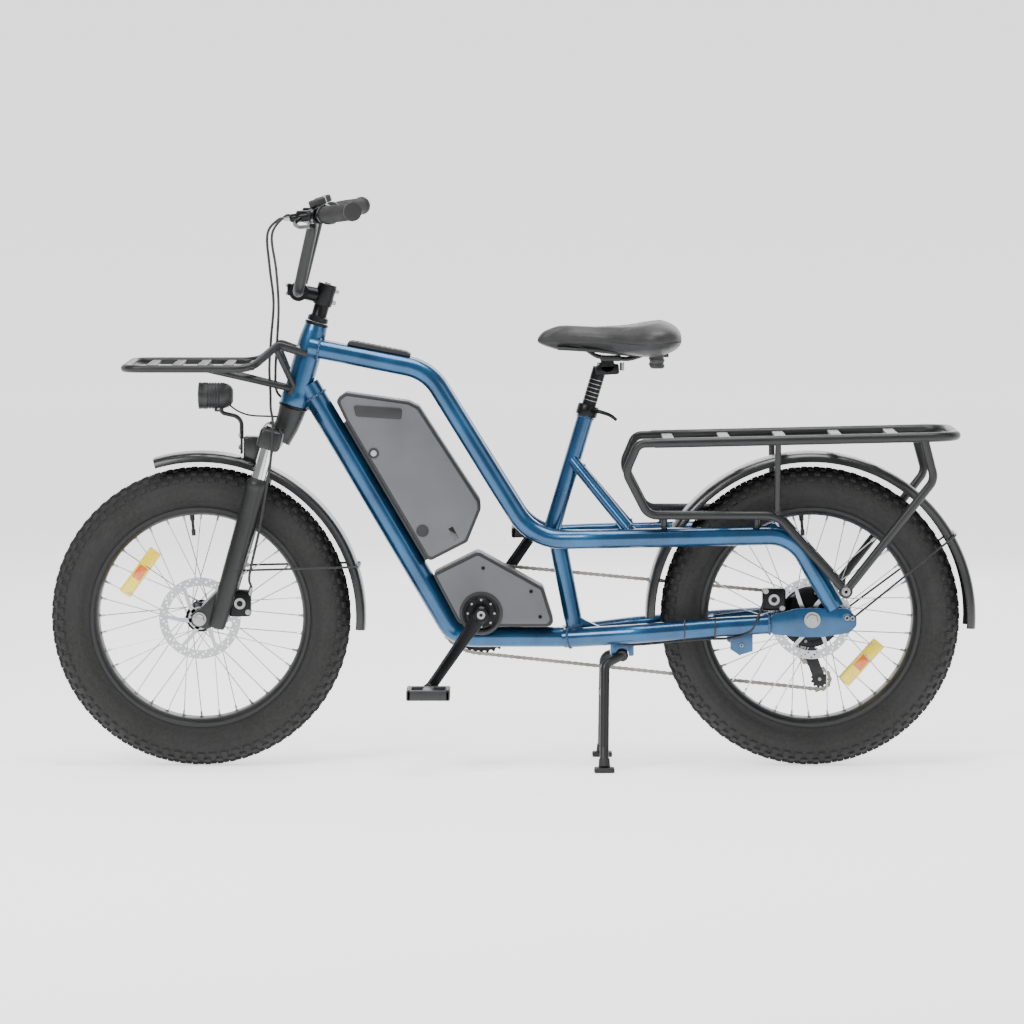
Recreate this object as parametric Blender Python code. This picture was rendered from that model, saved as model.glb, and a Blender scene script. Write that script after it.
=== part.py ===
"""Fat-tyre electric cargo bicycle on its centre stand.

Metres, +Z up. The front wheel is towards -X, the chain side towards +Y, and the origin is on the floor
under the middle of the whole bicycle. Every sub-part is one closed solid in an object of its own.
"""

import math

import bmesh
import bpy
from mathutils import Matrix, Vector

# Overall sizes
FRONT_CENTRE = 0.552
REAR_CENTRE = 0.648
TYRE_RADIUS = 0.295
TYRE_WIDTH = 0.096
FENDER_RADIUS = 0.325
FENDER_WALL = 0.003
FENDER_SIDE_GAP = 0.004
CRANK_RISE = 0.009
GAP = 0.0003
RUNNING_GAP = 0.0015

# Wheels
RIM_OUTER = 0.2165
RIM_INNER = 0.201
RIM_WIDTH = 0.080
RIM_WALL = 0.0035
SPOKE_COUNT = 36
SPOKE_RADIUS = 0.0016
WHEEL_STEPS = 32
FRONT_FLANGE = 0.029
FRONT_HUB_HALF = TYRE_WIDTH / 2 + 0.002
REAR_FLANGE = 0.060
REAR_HUB_HALF = TYRE_WIDTH / 2 - 0.014
AXLE_RADIUS = 0.006
ROTOR_RADIUS = 0.080
ROTOR_WALL = 0.002
FRONT_ROTOR_Y = -TYRE_WIDTH / 2 - 0.0055
REAR_ROTOR_Y = -TYRE_WIDTH / 2 - 0.0125

# Fork and steering
HEAD_TILT = math.radians(16.0)
HEAD_RUN = 0.2055
HEAD_RISE = 0.495
HEAD_LOW = -0.088
HEAD_TOP = 0.087
HEAD_RADIUS = 0.028
LEG_AHEAD = 0.024
LEG_SPREAD = TYRE_WIDTH / 2 + 0.032
LEG_RADIUS = 0.020
STANCHION_RADIUS = 0.015
FORK_INNER = TYRE_WIDTH / 2 + 0.0195
FORK_PLATE = 0.010

# Frame tubes
MAIN_RADIUS = 0.019
MAIN_SIDES = 8
DOWN_RADIUS = 0.023
BOTTOM_RADIUS = 0.020
SEAT_TUBE_RADIUS = 0.0165
LOWER_SEAT_RADIUS = 0.0175
STRUT_RADIUS = 0.0115
STAY_RADIUS = 0.019
STAY_SPREAD = TYRE_WIDTH / 2 + 0.039
DROPOUT_INNER = TYRE_WIDTH / 2 + 0.0385
DROPOUT_WALL = 0.007

# Cranks, chain and stand
CRANK_LENGTH = 0.178
CRANK_ANGLE = math.radians(35.0)
CRANK_INNER = TYRE_WIDTH / 2 + 0.027
CRANK_WALL = 0.013
CRANK_FLARE = 0.018
CHAINRING_RADIUS = 0.089
COG_RADIUS = 0.0364
COG_RADII = (0.0565, 0.0515, 0.0470, 0.0430, 0.0390, 0.0312, 0.0285)
COG_PITCH = 0.0038
PULLEY_RADIUS = 0.020
CHAIN_HALF = 0.004
CHAIN_Y = TYRE_WIDTH / 2 + 0.010
CHAIN_WIDTH = 0.006
PEDAL_LENGTH = 0.095
PEDAL_DEPTH = 0.085
PEDAL_THICKNESS = 0.024
STAND_TO_TYRE = 0.076
STAND_Z = 0.222
STAND_TUBE = 0.012
STAND_LEG = 0.009
STAND_SPREAD = STAY_SPREAD + 0.048

# Handlebar, saddle and racks
BAR_RADIUS = 0.0111
GRIP_RADIUS = 0.0165
GRIP_INNER_Y = 0.200
GRIP_OUTER_Y = 0.335
POST_RADIUS = 0.014
RACK_TUBE = 0.0095
RACK_HALF = 0.140
RACK_LOW_HALF = 0.103
RACK_BAR = 0.006
RACK_SIDES = 6
FRONT_RACK_TUBE = 0.0075
FRONT_RACK_HALF = 0.170
BATTERY_HALF = 0.045
COVER_HALF = 0.048
HOSE_RADIUS = 0.0026

# Places worked out from the sizes
WHEELBASE = FRONT_CENTRE + REAR_CENTRE
FRONT_X = TYRE_RADIUS - (WHEELBASE + TYRE_RADIUS + FENDER_RADIUS) / 2
CRANK_X = FRONT_X + FRONT_CENTRE
REAR_X = CRANK_X + REAR_CENTRE
AXLE_Z = TYRE_RADIUS
CRANK_Z = AXLE_Z + CRANK_RISE
Y_AXIS = Vector((0, 1, 0))


def front(dx, dz, y=0.0):
    return Vector((FRONT_X + dx, y, AXLE_Z + dz))


def middle(dx, dz, y=0.0):
    return Vector((CRANK_X + dx, y, AXLE_Z + dz))


def rear(dx, dz, y=0.0):
    return Vector((REAR_X + dx, y, AXLE_Z + dz))


def steer(along, ahead=0.0, y=0.0):
    """A point at a distance along the steering axis, up from the middle of the head tube, and ahead of it."""
    up = Vector((math.sin(HEAD_TILT), 0, math.cos(HEAD_TILT)))
    fore = Vector((-math.cos(HEAD_TILT), 0, math.sin(HEAD_TILT)))
    return front(HEAD_RUN, HEAD_RISE, y) + along * up + ahead * fore


def mirrored(points):
    return [Vector((p.x, -p.y, p.z)) for p in points]


# Shape tools


def clear_scene():
    for obj in list(bpy.data.objects):
        bpy.data.objects.remove(obj, do_unlink=True)


def make_material(name, colour, roughness, metallic):
    made = bpy.data.materials.new(name)
    made.use_nodes = True
    shader = made.node_tree.nodes["Principled BSDF"]
    shader.inputs["Base Color"].default_value = (*colour, 1)
    shader.inputs["Roughness"].default_value = roughness
    shader.inputs["Metallic"].default_value = metallic
    return made


def from_bmesh(name, bm):
    bmesh.ops.remove_doubles(bm, verts=bm.verts, dist=1e-6)
    bmesh.ops.recalc_face_normals(bm, faces=bm.faces)
    mesh = bpy.data.meshes.new(name)
    bm.to_mesh(mesh)
    bm.free()
    obj = bpy.data.objects.new(name, mesh)
    bpy.context.scene.collection.objects.link(obj)
    return obj


def finish(obj, material):
    obj.data.materials.clear()
    obj.data.materials.append(material)
    obj.data.shade_smooth()
    obj.data.set_sharp_from_angle(angle=math.radians(35))
    return obj


def bake(obj):
    """Turns the object's modifiers into its mesh."""
    bpy.context.view_layer.update()
    graph = bpy.context.evaluated_depsgraph_get()
    mesh = bpy.data.meshes.new_from_object(obj.evaluated_get(graph))
    obj.modifiers.clear()
    obj.data = mesh
    return obj


def combine(target, others, operation):
    for other in others:
        boolean = target.modifiers.new(operation, "BOOLEAN")
        boolean.operation = operation
        boolean.solver = "EXACT"
        boolean.object = other
    bake(target)
    for other in others:
        bpy.data.objects.remove(other, do_unlink=True)
    return target


def fuse(target, *others):
    return combine(target, others, "UNION")


def cut(target, *others):
    return combine(target, others, "DIFFERENCE")


def rounded(points, radii, steps=5):
    """The route through the points, with an arc of the given radius at each inner one."""
    route = [points[0]]
    for before, corner, after, radius in zip(points, points[1:], points[2:], radii):
        into = (corner - before).normalized()
        out = (after - corner).normalized()
        turn = into.angle(out)
        if radius <= 0 or turn < 0.01:
            route.append(corner)
            continue
        most = 0.49 * min((corner - before).length, (after - corner).length)
        reach = min(radius * math.tan(turn / 2), most)
        radius = reach / math.tan(turn / 2)
        start = corner - reach * into
        inward = (out - into * into.dot(out)).normalized()
        centre = start + radius * inward
        for step in range(steps + 1):
            angle = turn * step / steps
            route.append(centre - radius * math.cos(angle) * inward + radius * math.sin(angle) * into)
    route.append(points[-1])
    return route


def tube(name, route, radius, sides=10):
    """A round bar along the route. The radius is one number, or one for each point."""
    curve = bpy.data.curves.new(name, "CURVE")
    curve.dimensions = "3D"
    curve.twist_mode = "MINIMUM"
    curve.bevel_depth = 1.0
    curve.bevel_resolution = sides // 2 - 2
    curve.use_fill_caps = True
    spline = curve.splines.new("POLY")
    spline.points.add(len(route) - 1)
    for index, (point, place) in enumerate(zip(spline.points, route)):
        point.co = (*place, 1)
        point.radius = radius if isinstance(radius, float) else radius[index]
    obj = bpy.data.objects.new(name, curve)
    bpy.context.scene.collection.objects.link(obj)
    bpy.context.view_layer.update()
    graph = bpy.context.evaluated_depsgraph_get()
    bm = bmesh.new()
    bm.from_mesh(bpy.data.meshes.new_from_object(obj.evaluated_get(graph)))
    bpy.data.objects.remove(obj, do_unlink=True)
    return from_bmesh(name, bm)


def smooth_route(points, steps):
    """A smooth curve through the points, for hoses."""
    ends = [2 * points[0] - points[1], *points, 2 * points[-1] - points[-2]]
    route = []
    for a, b, c, d in zip(ends, ends[1:], ends[2:], ends[3:]):
        for step in range(steps):
            t = step / steps
            pull = (c - a) * t + (2 * a - 5 * b + 4 * c - d) * t**2 + (3 * b - a - 3 * c + d) * t**3
            route.append(b + pull / 2)
    route.append(points[-1])
    return route


def lathe(name, profile, centre, steps=36, direction=Y_AXIS, angles=None):
    """Turns a closed profile of (radius, along) about an axis through the centre."""
    bm = bmesh.new()
    full = angles is None
    if full:
        angles = [2 * math.pi * step / steps for step in range(steps)]
    rings = []
    for angle in angles:
        ring = []
        for radius, along in profile:
            ring.append(bm.verts.new((radius * math.cos(angle), along, radius * math.sin(angle))))
        rings.append(ring)
    pairs = list(zip(rings, rings[1:]))
    if full:
        pairs.append((rings[-1], rings[0]))
    count = len(profile)
    for one, two in pairs:
        for index in range(count):
            after = (index + 1) % count
            bm.faces.new((one[index], one[after], two[after], two[index]))
    if not full:
        bm.faces.new(rings[0])
        bm.faces.new(rings[-1])
    turn = Y_AXIS.rotation_difference(direction).to_matrix().to_4x4()
    bm.transform(Matrix.Translation(centre) @ turn)
    bmesh.ops.remove_doubles(bm, verts=bm.verts, dist=1e-6)
    bmesh.ops.dissolve_degenerate(bm, edges=bm.edges, dist=1e-6)
    return from_bmesh(name, bm)


def disc(name, centre, radius, half, steps=24, direction=Y_AXIS):
    """A plain cylinder, centred, along the direction."""
    bm = bmesh.new()
    bmesh.ops.create_cone(
        bm, cap_ends=True, segments=steps, radius1=radius, radius2=radius, depth=2 * half
    )
    turn = Vector((0, 0, 1)).rotation_difference(direction).to_matrix().to_4x4()
    bm.transform(Matrix.Translation(centre) @ turn)
    return from_bmesh(name, bm)


def prism(name, outline, low_y, high_y, bevel=0.0):
    """An outline of points in the side view, from one y to another."""
    bm = bmesh.new()
    face = bm.faces.new([bm.verts.new((p.x, low_y, p.z)) for p in outline])
    made = bmesh.ops.extrude_face_region(bm, geom=[face])
    moved = [v for v in made["geom"] if isinstance(v, bmesh.types.BMVert)]
    bmesh.ops.translate(bm, verts=moved, vec=(0, high_y - low_y, 0))
    if bevel:
        bmesh.ops.bevel(
            bm, geom=list(bm.edges), offset=bevel, segments=1, affect="EDGES", clamp_overlap=True
        )
    return from_bmesh(name, bm)


def flat_bar(name, centres, halves, half_y, across):
    """A flat bar through the centres, chamfered along its four edges."""
    bm = bmesh.new()
    rings = []
    for centre, half in zip(centres, halves):
        chamfer = half_y * 0.45
        corners = [(half - chamfer, half_y), (half, half_y - chamfer)]
        corners += [(a, -b) for a, b in reversed(corners)]
        corners += [(-a, -b) for a, b in corners]
        rings.append([bm.verts.new(centre + across * a + Y_AXIS * b) for a, b in corners])
    for one, two in zip(rings, rings[1:]):
        for index in range(len(one)):
            after = (index + 1) % len(one)
            bm.faces.new((one[index], one[after], two[after], two[index]))
    bm.faces.new(rings[0])
    bm.faces.new(rings[-1])
    return from_bmesh(name, bm)


def block(name, centre, size, bevel=0.0, tilt=0.0):
    """A box with chamfered edges, leaned about Y by the tilt."""
    bm = bmesh.new()
    bmesh.ops.create_cube(bm, size=1)
    bmesh.ops.scale(bm, verts=bm.verts, vec=size)
    if bevel:
        bmesh.ops.bevel(bm, geom=list(bm.edges), offset=bevel, segments=1, affect="EDGES")
    bm.transform(Matrix.Translation(centre) @ Matrix.Rotation(tilt, 4, "Y"))
    return from_bmesh(name, bm)


# Frame


def main_route(side):
    points = [
        front(0.214, 0.531, MAIN_RADIUS + 0.002),
        front(0.448, 0.485, MAIN_RADIUS + 0.011),
        middle(0.101, 0.155, 0.060),
        middle(0.223, 0.158, STAY_SPREAD),
        rear(-0.187, 0.163, STAY_SPREAD),
        rear(-0.038, 0.1665, STAY_SPREAD),
        rear(0.045, 0.023, STAY_SPREAD),
    ]
    points = points if side > 0 else mirrored(points)
    return rounded(points, [0.095, 0.150, 0.20, 0, 0.080], 4)


def down_route():
    points = [front(0.2113, 0.456), middle(-0.048, -0.042), middle(0.178, -0.042)]
    return rounded(points, [0.062], 6)


def down_shape(name, grow):
    route = down_route()
    radii = [DOWN_RADIUS + grow] * 4 + [BOTTOM_RADIUS + grow] * (len(route) - 4)
    return tube(name, route, radii, 12)


def seat_line(height):
    """A point on the seat tube's axis at a height over the wheel axles."""
    foot = middle(0.1375, 0.165)
    return foot + Vector((math.tan(math.radians(16.5)) * (height - 0.165), 0, height - 0.165))


def lower_seat_route():
    return [middle(0.150, 0.150), middle(0.187, -0.036)]


SEAT_TOP = 0.396


def seat_shape(name, grow):
    upper = tube(name, [seat_line(0.150), seat_line(SEAT_TOP)], SEAT_TUBE_RADIUS + grow, 12)
    lower = tube("lower", lower_seat_route(), LOWER_SEAT_RADIUS + grow, 12)
    return fuse(upper, lower)


def head_shape(name, grow):
    stops = [(HEAD_LOW, 0.028), (-0.066, 0.028), (-0.055, 0.0262), (0.045, 0.0262)]
    stops += [(0.068, 0.0240), (HEAD_TOP, 0.0215)]
    scale = HEAD_RADIUS / 0.028
    ends = [steer(along) for along, _ in stops]
    return tube(name, ends, [radius * scale + grow for _, radius in stops], 16)


def strut_points(side):
    top = seat_line(0.308) + Y_AXIS * side * (STRUT_RADIUS + 2 * GAP)
    return [top, rear(-0.346, 0.161, side * STAY_SPREAD)]


def stay_route(side):
    points = [
        middle(0.165, -0.041, BOTTOM_RADIUS + STAY_RADIUS + 2 * GAP),
        middle(0.303, -0.028, STAY_SPREAD),
        rear(-0.169, -0.014, STAY_SPREAD),
        rear(-0.0840, -0.009, STAY_SPREAD),
    ]
    points = points if side > 0 else mirrored(points)
    return rounded(points, [0.12, 0.3], 3)


def dropout_shape(name, side, grow):
    outline = [
        rear(-0.0825, -0.028),
        rear(-0.0825, 0.009),
        rear(-0.030, 0.0225),
        rear(0.070, 0.0225),
        rear(0.087, 0.005),
        rear(0.087, -0.012),
        rear(0.072, -0.026),
        rear(0.020, -0.034),
        rear(-0.020, -0.034),
    ]
    low = min(side * DROPOUT_INNER, side * (DROPOUT_INNER + DROPOUT_WALL)) - grow
    high = max(side * DROPOUT_INNER, side * (DROPOUT_INNER + DROPOUT_WALL)) + grow
    centre = sum((p.z for p in outline)) / len(outline)
    grown = [Vector((p.x, 0, p.z + math.copysign(grow, p.z - centre))) for p in outline]
    return prism(name, grown, low, high)


def make_frame(paint):
    finish(head_shape("head_tube", 0), paint)
    for side, word in ((-1, "left"), (1, "right")):
        main = tube(f"{word}_main_tube", main_route(side), MAIN_RADIUS, MAIN_SIDES)
        cut(main, head_shape("cutter", GAP), dropout_shape("cutter", side, GAP))
        finish(main, paint)

        strut = tube(f"{word}_seat_strut", strut_points(side), STRUT_RADIUS, 8)
        cut(strut, seat_shape("cutter", GAP), tube("cutter", main_route(side), MAIN_RADIUS + GAP, MAIN_SIDES))
        finish(strut, paint)

        stay = tube(f"{word}_lower_stay", stay_route(side), STAY_RADIUS, 8)
        plate_low = rear(-0.142, -0.070)
        plate = [
            plate_low,
            plate_low + Vector((-0.018, 0, 0.012)),
            plate_low + Vector((-0.018, 0, 0.050)),
            plate_low + Vector((0.026, 0, 0.050)),
            plate_low + Vector((0.026, 0, 0.008)),
        ]
        inner = side * (STAY_SPREAD - 0.003)
        outer = side * (STAY_SPREAD + 0.003)
        fuse(stay, prism("plate", plate, min(inner, outer), max(inner, outer)))
        cut(stay, down_shape("cutter", GAP), seat_shape("cutter", GAP))
        finish(stay, paint)

        drop = dropout_shape(f"{word}_dropout", side, 0)
        face = DROPOUT_INNER + DROPOUT_WALL
        nut = disc("nut", rear(0, 0, side * (face + 0.006)), 0.011, 0.008, 6)
        eye = disc("eye", rear(0.068, 0.004, side * (face + 0.003)), 0.009, 0.005, 12)
        finish(fuse(drop, nut, eye), paint)

    down = down_shape("down_tube", 0)
    swing = disc("swing", stand_pivot(), STAND_TUBE + RUNNING_GAP, 0.080, 20)
    finish(cut(down, head_shape("cutter", GAP), swing), paint)

    seat = seat_shape("seat_tube", 0)
    bridge = disc("bridge", middle(0.144, 0.157), 0.014, 0.070, 12)
    gusset = [middle(0.180, -0.022), middle(0.176, 0.010), middle(0.235, -0.016)]
    fuse(seat, bridge, prism("gusset", gusset, -0.012, 0.012))
    cut(seat, *(tube("cutter", main_route(side), MAIN_RADIUS + GAP, MAIN_SIDES) for side in (-1, 1)))
    cut(seat, down_shape("cutter", GAP))
    finish(seat, paint)


BRACKET_RADIUS = CRANK_RISE + 0.042 - BOTTOM_RADIUS - GAP
BRACKET_HALF = 0.052


def make_bottom_bracket(paint):
    bore = 0.010
    profile = [
        (bore, -BRACKET_HALF),
        (BRACKET_RADIUS - 0.004, -BRACKET_HALF),
        (BRACKET_RADIUS, -BRACKET_HALF + 0.004),
        (BRACKET_RADIUS, BRACKET_HALF - 0.010),
        (BRACKET_RADIUS - 0.006, BRACKET_HALF - 0.006),
        (bore, BRACKET_HALF - 0.006),
    ]
    return finish(lathe("bottom_bracket", profile, middle(0, CRANK_RISE), 20), paint)


def stand_pivot():
    return Vector((REAR_X - TYRE_RADIUS - STAND_TO_TYRE, 0, STAND_Z))


def make_stand_bracket(paint):
    centre = stand_pivot() + Vector((0, 0, 0.016))
    bracket = block("stand_bracket", centre, (0.046, 2 * (STAY_SPREAD - 0.032), 0.036), 0.003)
    channel = disc("channel", stand_pivot(), STAND_TUBE + RUNNING_GAP, 0.080, 20)
    mouth = block("mouth", stand_pivot() - Vector((0, 0, 0.020)), (0.0262, 0.160, 0.040))
    cut(bracket, fuse(channel, mouth))
    cut(bracket, down_shape("cutter", GAP), seat_shape("cutter", GAP))
    for side in (-1, 1):
        cut(bracket, tube("cutter", stay_route(side), STAY_RADIUS + GAP, 8))
    return finish(bracket, paint)


# What the frame carries


def down_frame():
    """The down tube's start, its direction and the normal on its upper side."""
    route = down_route()
    along = (route[1] - route[0]).normalized()
    return route[0], along, Vector((-along.z, 0, along.x))


def off_down_tube(u, v):
    start, along, normal = down_frame()
    return start + u * along + v * normal


def make_battery(plastic):
    floor = DOWN_RADIUS + 0.0065
    outline = [
        (0.052, floor + 0.004),
        (0.050, 0.058),
        (0.128, 0.1560),
        (0.147, 0.1680),
        (0.366, 0.1775),
        (0.382, 0.1700),
        (0.424, 0.1150),
        (0.419, floor),
        (0.100, floor),
    ]
    case = prism(
        "battery", [off_down_tube(u, v) for u, v in outline], -BATTERY_HALF, BATTERY_HALF, 0.005
    )
    rail = [
        off_down_tube(0.110, DOWN_RADIUS + GAP),
        off_down_tube(0.110, floor + 0.003),
        off_down_tube(0.412, floor + 0.003),
        off_down_tube(0.412, DOWN_RADIUS + GAP),
    ]
    return finish(fuse(case, prism("rail", rail, -0.018, 0.018)), plastic)


def make_drive_cover(plastic):
    outline = [
        off_down_tube(0.448, DOWN_RADIUS + 0.001),
        off_down_tube(0.444, DOWN_RADIUS + 0.006),
        middle(-0.006, 0.130),
        middle(0.122, 0.059),
        middle(0.146, -0.018),
        middle(-0.020, -0.018),
        middle(-0.045, -0.010),
    ]
    cover = prism("drive_cover", outline, -COVER_HALF, COVER_HALF, 0.005)
    hole = disc("hole", middle(0, CRANK_RISE), BRACKET_RADIUS + RUNNING_GAP, 0.080, 20)
    cut(cover, hole)
    cut(cover, down_shape("cutter", GAP), seat_shape("cutter", GAP))
    return finish(cover, plastic)


def make_top_pad(plastic):
    start, corner = main_route(1)[0], main_route(1)[1]
    along = (corner - start).normalized()
    over = Vector((-along.z, 0, along.x))
    low = MAIN_RADIUS + GAP
    ends = [start + along * 0.072, start + along * 0.200]
    ends = [Vector((p.x, 0, p.z)) for p in ends]
    outline = [
        ends[0] + over * low,
        ends[0] + over * (low + 0.004),
        ends[0] + along * 0.008 + over * (low + 0.009),
        ends[1] - along * 0.008 + over * (low + 0.009),
        ends[1] + over * (low + 0.004),
        ends[1] + over * low,
    ]
    for point in outline:
        point.y = 0
    return finish(prism("top_tube_pad", outline, -0.032, 0.032, 0.0012), plastic)


SADDLE_STATIONS = [
    (0.106, 0.014, 0.548, 0.536),
    (0.118, 0.023, 0.562, 0.531),
    (0.145, 0.030, 0.569, 0.528),
    (0.195, 0.040, 0.570, 0.529),
    (0.245, 0.058, 0.569, 0.527),
    (0.288, 0.088, 0.571, 0.519),
    (0.330, 0.112, 0.578, 0.514),
    (0.362, 0.112, 0.580, 0.516),
    (0.384, 0.095, 0.573, 0.524),
    (0.396, 0.070, 0.559, 0.534),
]


def saddle_shape(name, grow):
    bm = bmesh.new()
    rings = []
    for dx, half, top, bottom in SADDLE_STATIONS:
        ring = []
        for step in range(14):
            angle = 2 * math.pi * step / 14
            side, lift = math.cos(angle), math.sin(angle)
            y = math.copysign(abs(side) ** 0.75, side) * (half + grow)
            mid = (top + bottom) / 2
            z = mid + math.copysign(abs(lift) ** 0.8, lift) * ((top - bottom) / 2 + grow)
            ring.append(bm.verts.new(middle(dx, z, y)))
        rings.append(ring)
    for one, two in zip(rings, rings[1:]):
        for index in range(14):
            after = (index + 1) % 14
            bm.faces.new((one[index], one[after], two[after], two[index]))
    bm.faces.new(rings[0])
    bm.faces.new(rings[-1])
    return from_bmesh(name, bm)


def make_saddle(plastic, metal):
    finish(saddle_shape("saddle", 0), plastic)
    top = seat_line(SEAT_TOP)
    up = (seat_line(1.0) - top).normalized()
    head = seat_line(0.484)
    post = tube("seat_post", [top + up * GAP, head], POST_RADIUS, 12)
    collar_low, collar_high = top + up * GAP, top + up * 0.022
    collar = tube("collar", [collar_low, collar_high], 0.0215, 14)
    lever_ends = [top + up * 0.011 + Vector((0.008, -0.012, 0)), top + up * 0.006 + Vector((0.030, -0.034, 0))]
    lever = tube("lever", lever_ends, 0.0045, 8)
    cradle = block("cradle", middle(0.248, 0.486), (0.046, 0.040, 0.020), 0.003)
    finish(fuse(post, collar, lever, cradle), metal)
    clamp = block("saddle_rails", middle(0.2545, 0.5085), (0.042, 0.062, 0.016), 0.003)
    pieces = []
    for y in (-0.022, 0.022):
        rail = rounded(
            [
                middle(0.196, 0.540, y * 0.9),
                middle(0.226, 0.512, y),
                middle(0.290, 0.506, y),
                middle(0.338, 0.528, y * 1.4),
            ],
            [0.03, 0.05],
            3,
        )
        pieces.append(tube("rail", rail, 0.0038, 6))
    fuse(clamp, *pieces)
    cut(clamp, saddle_shape("cutter", GAP))
    return finish(clamp, metal)


# Racks

DECK_LIFT = FENDER_RADIUS + 0.027


def deck_route():
    left = [
        rear(-0.310, DECK_LIFT - 0.003, -RACK_HALF),
        rear(0.274, DECK_LIFT + 0.010, -RACK_HALF),
        rear(0.279, DECK_LIFT + 0.010, 0),
    ]
    points = left[:2] + [mirrored(left[:2])[1], mirrored(left[:2])[0]]
    points[1].x = points[2].x = left[2].x
    return rounded(points, [0.050, 0.050], 4)


def side_route(side):
    points = [
        rear(-0.310 - GAP, DECK_LIFT - 0.003, RACK_HALF),
        rear(-0.342, DECK_LIFT - 0.004, RACK_HALF),
        rear(-0.366, DECK_LIFT - 0.060, RACK_HALF - 0.010),
        rear(-0.322, 0.206, RACK_LOW_HALF + 0.004),
        rear(-0.070, 0.206, RACK_LOW_HALF + 0.004),
        rear(0.0635, 0.062, STAY_SPREAD + MAIN_RADIUS + RACK_TUBE + 0.001),
    ]
    points = points if side > 0 else mirrored(points)
    return rounded(points, [0.020, 0.035, 0.030, 0.050], 3)


def make_rear_rack(metal):
    deck = tube("rear_rack_deck", deck_route(), RACK_TUBE, RACK_SIDES)
    bars = []
    for dx in (-0.280, -0.170, -0.060, 0.050, 0.160):
        height = DECK_LIFT + (dx + 0.31) / 0.584 * 0.013 - 0.003
        bars.append(block("bar", rear(dx, height), (0.022, 2 * RACK_HALF, 0.006)))
    finish(fuse(deck, *bars), metal)
    for side, word in ((-1, "left"), (1, "right")):
        frame = tube(f"{word}_rear_rack_side", side_route(side), RACK_TUBE - 0.001, RACK_SIDES)
        low = side * (RACK_LOW_HALF + 0.004)
        high = side * RACK_HALF
        post = tube(
            "post", [rear(-0.070, 0.206, low), rear(-0.070, DECK_LIFT + 0.003, high)], RACK_BAR, RACK_SIDES
        )
        brace = rounded(
            [
                rear(0.214, DECK_LIFT + 0.008, high),
                rear(0.235, 0.2775, side * 0.128),
                rear(0.0635, 0.066, side * (STAY_SPREAD + MAIN_RADIUS + RACK_TUBE + 0.001)),
            ],
            [0.030],
            4,
        )
        bosses = [
            tube("boss", [rear(dx, 0.206, low), rear(dx, 0.168, side * STAY_SPREAD)], 0.006, RACK_SIDES)
            for dx in (-0.290, -0.110)
        ]
        foot = disc(
            "foot", rear(0.0640, 0.058, side * (STAY_SPREAD + MAIN_RADIUS + RACK_TUBE + 0.001)),
            0.013, 0.0082, 12
        )
        fuse(frame, post, tube("brace", brace, RACK_TUBE - 0.001, RACK_SIDES), foot, *bosses)
        cut(
            frame,
            tube("cutter", deck_route(), RACK_TUBE + GAP, RACK_SIDES),
            tube("cutter", main_route(side), MAIN_RADIUS + GAP, MAIN_SIDES),
        )
        finish(frame, metal)


def make_front_rack(metal):
    level = HEAD_RISE
    left = [
        front(0.2100, HEAD_RISE + 0.024, -0.036),
        front(0.155, HEAD_RISE + 0.041, -0.062),
        front(0.106, level, -FRONT_RACK_HALF),
        front(-0.140, level, -FRONT_RACK_HALF),
    ]
    points = left + mirrored(left)[::-1]
    route = rounded(points, [0.020, 0.045, 0.035, 0.035, 0.045, 0.020], 3)
    loop = tube("front_rack", route, FRONT_RACK_TUBE, RACK_SIDES)
    pieces = []
    for dx in (-0.095, -0.045, 0.005, 0.055, 0.104):
        pieces.append(block("bar", front(dx, level), (0.018, 2 * FRONT_RACK_HALF, 0.006)))
    for side in (-1, 1):
        long_strut = [front(0.000, level - 0.004, side * 0.055), front(0.190, level - 0.049, side * 0.018)]
        short_strut = [front(0.150, level + 0.037, side * 0.066), front(0.186, level - 0.045, side * 0.020)]
        pieces.append(tube("strut", long_strut, 0.006, RACK_SIDES))
        pieces.append(tube("strut", short_strut, 0.006, RACK_SIDES))
    plate_centre = front(0.1840, level - 0.046)
    pieces.append(block("plate", plate_centre, (0.014, 0.056, 0.028), 0.002, HEAD_TILT))
    fuse(loop, *pieces)
    cut(loop, head_shape("cutter", GAP))
    cut(loop, *(tube("cutter", main_route(side), MAIN_RADIUS + GAP, MAIN_SIDES) for side in (-1, 1)))
    return finish(loop, metal)


# Wheels and fenders


def make_tyre(name, centre, rubber):
    half = TYRE_WIDTH / 2
    seat = RIM_OUTER - 0.0095 + GAP
    inner = RIM_WIDTH / 2 - RIM_WALL - GAP
    mid = (TYRE_RADIUS + RIM_OUTER) / 2 - 0.004
    profile = [(seat, -inner), (RIM_OUTER + 0.001, -inner)]
    arc_low, arc_high = math.radians(-38), math.radians(218)
    steps = 8
    for step in range(steps + 1):
        angle = arc_high + (arc_low - arc_high) * step / steps
        reach = TYRE_RADIUS - mid
        profile.append((mid + reach * math.sin(angle), half * math.cos(angle)))
    profile += [(RIM_OUTER + 0.001, inner), (seat, inner)]
    return finish(lathe(name, profile, centre, WHEEL_STEPS), rubber)


def make_rim(name, centre, metal):
    half = RIM_WIDTH / 2
    bed = RIM_OUTER - 0.0095
    profile = [
        (RIM_INNER, -half * 0.94),
        (RIM_INNER, half * 0.94),
        (RIM_OUTER, half),
        (RIM_OUTER, half - RIM_WALL),
        (bed, half - RIM_WALL),
        (bed, RIM_WALL - half),
        (RIM_OUTER, RIM_WALL - half),
        (RIM_OUTER, -half),
    ]
    return finish(lathe(name, profile, centre, WHEEL_STEPS), metal)


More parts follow.
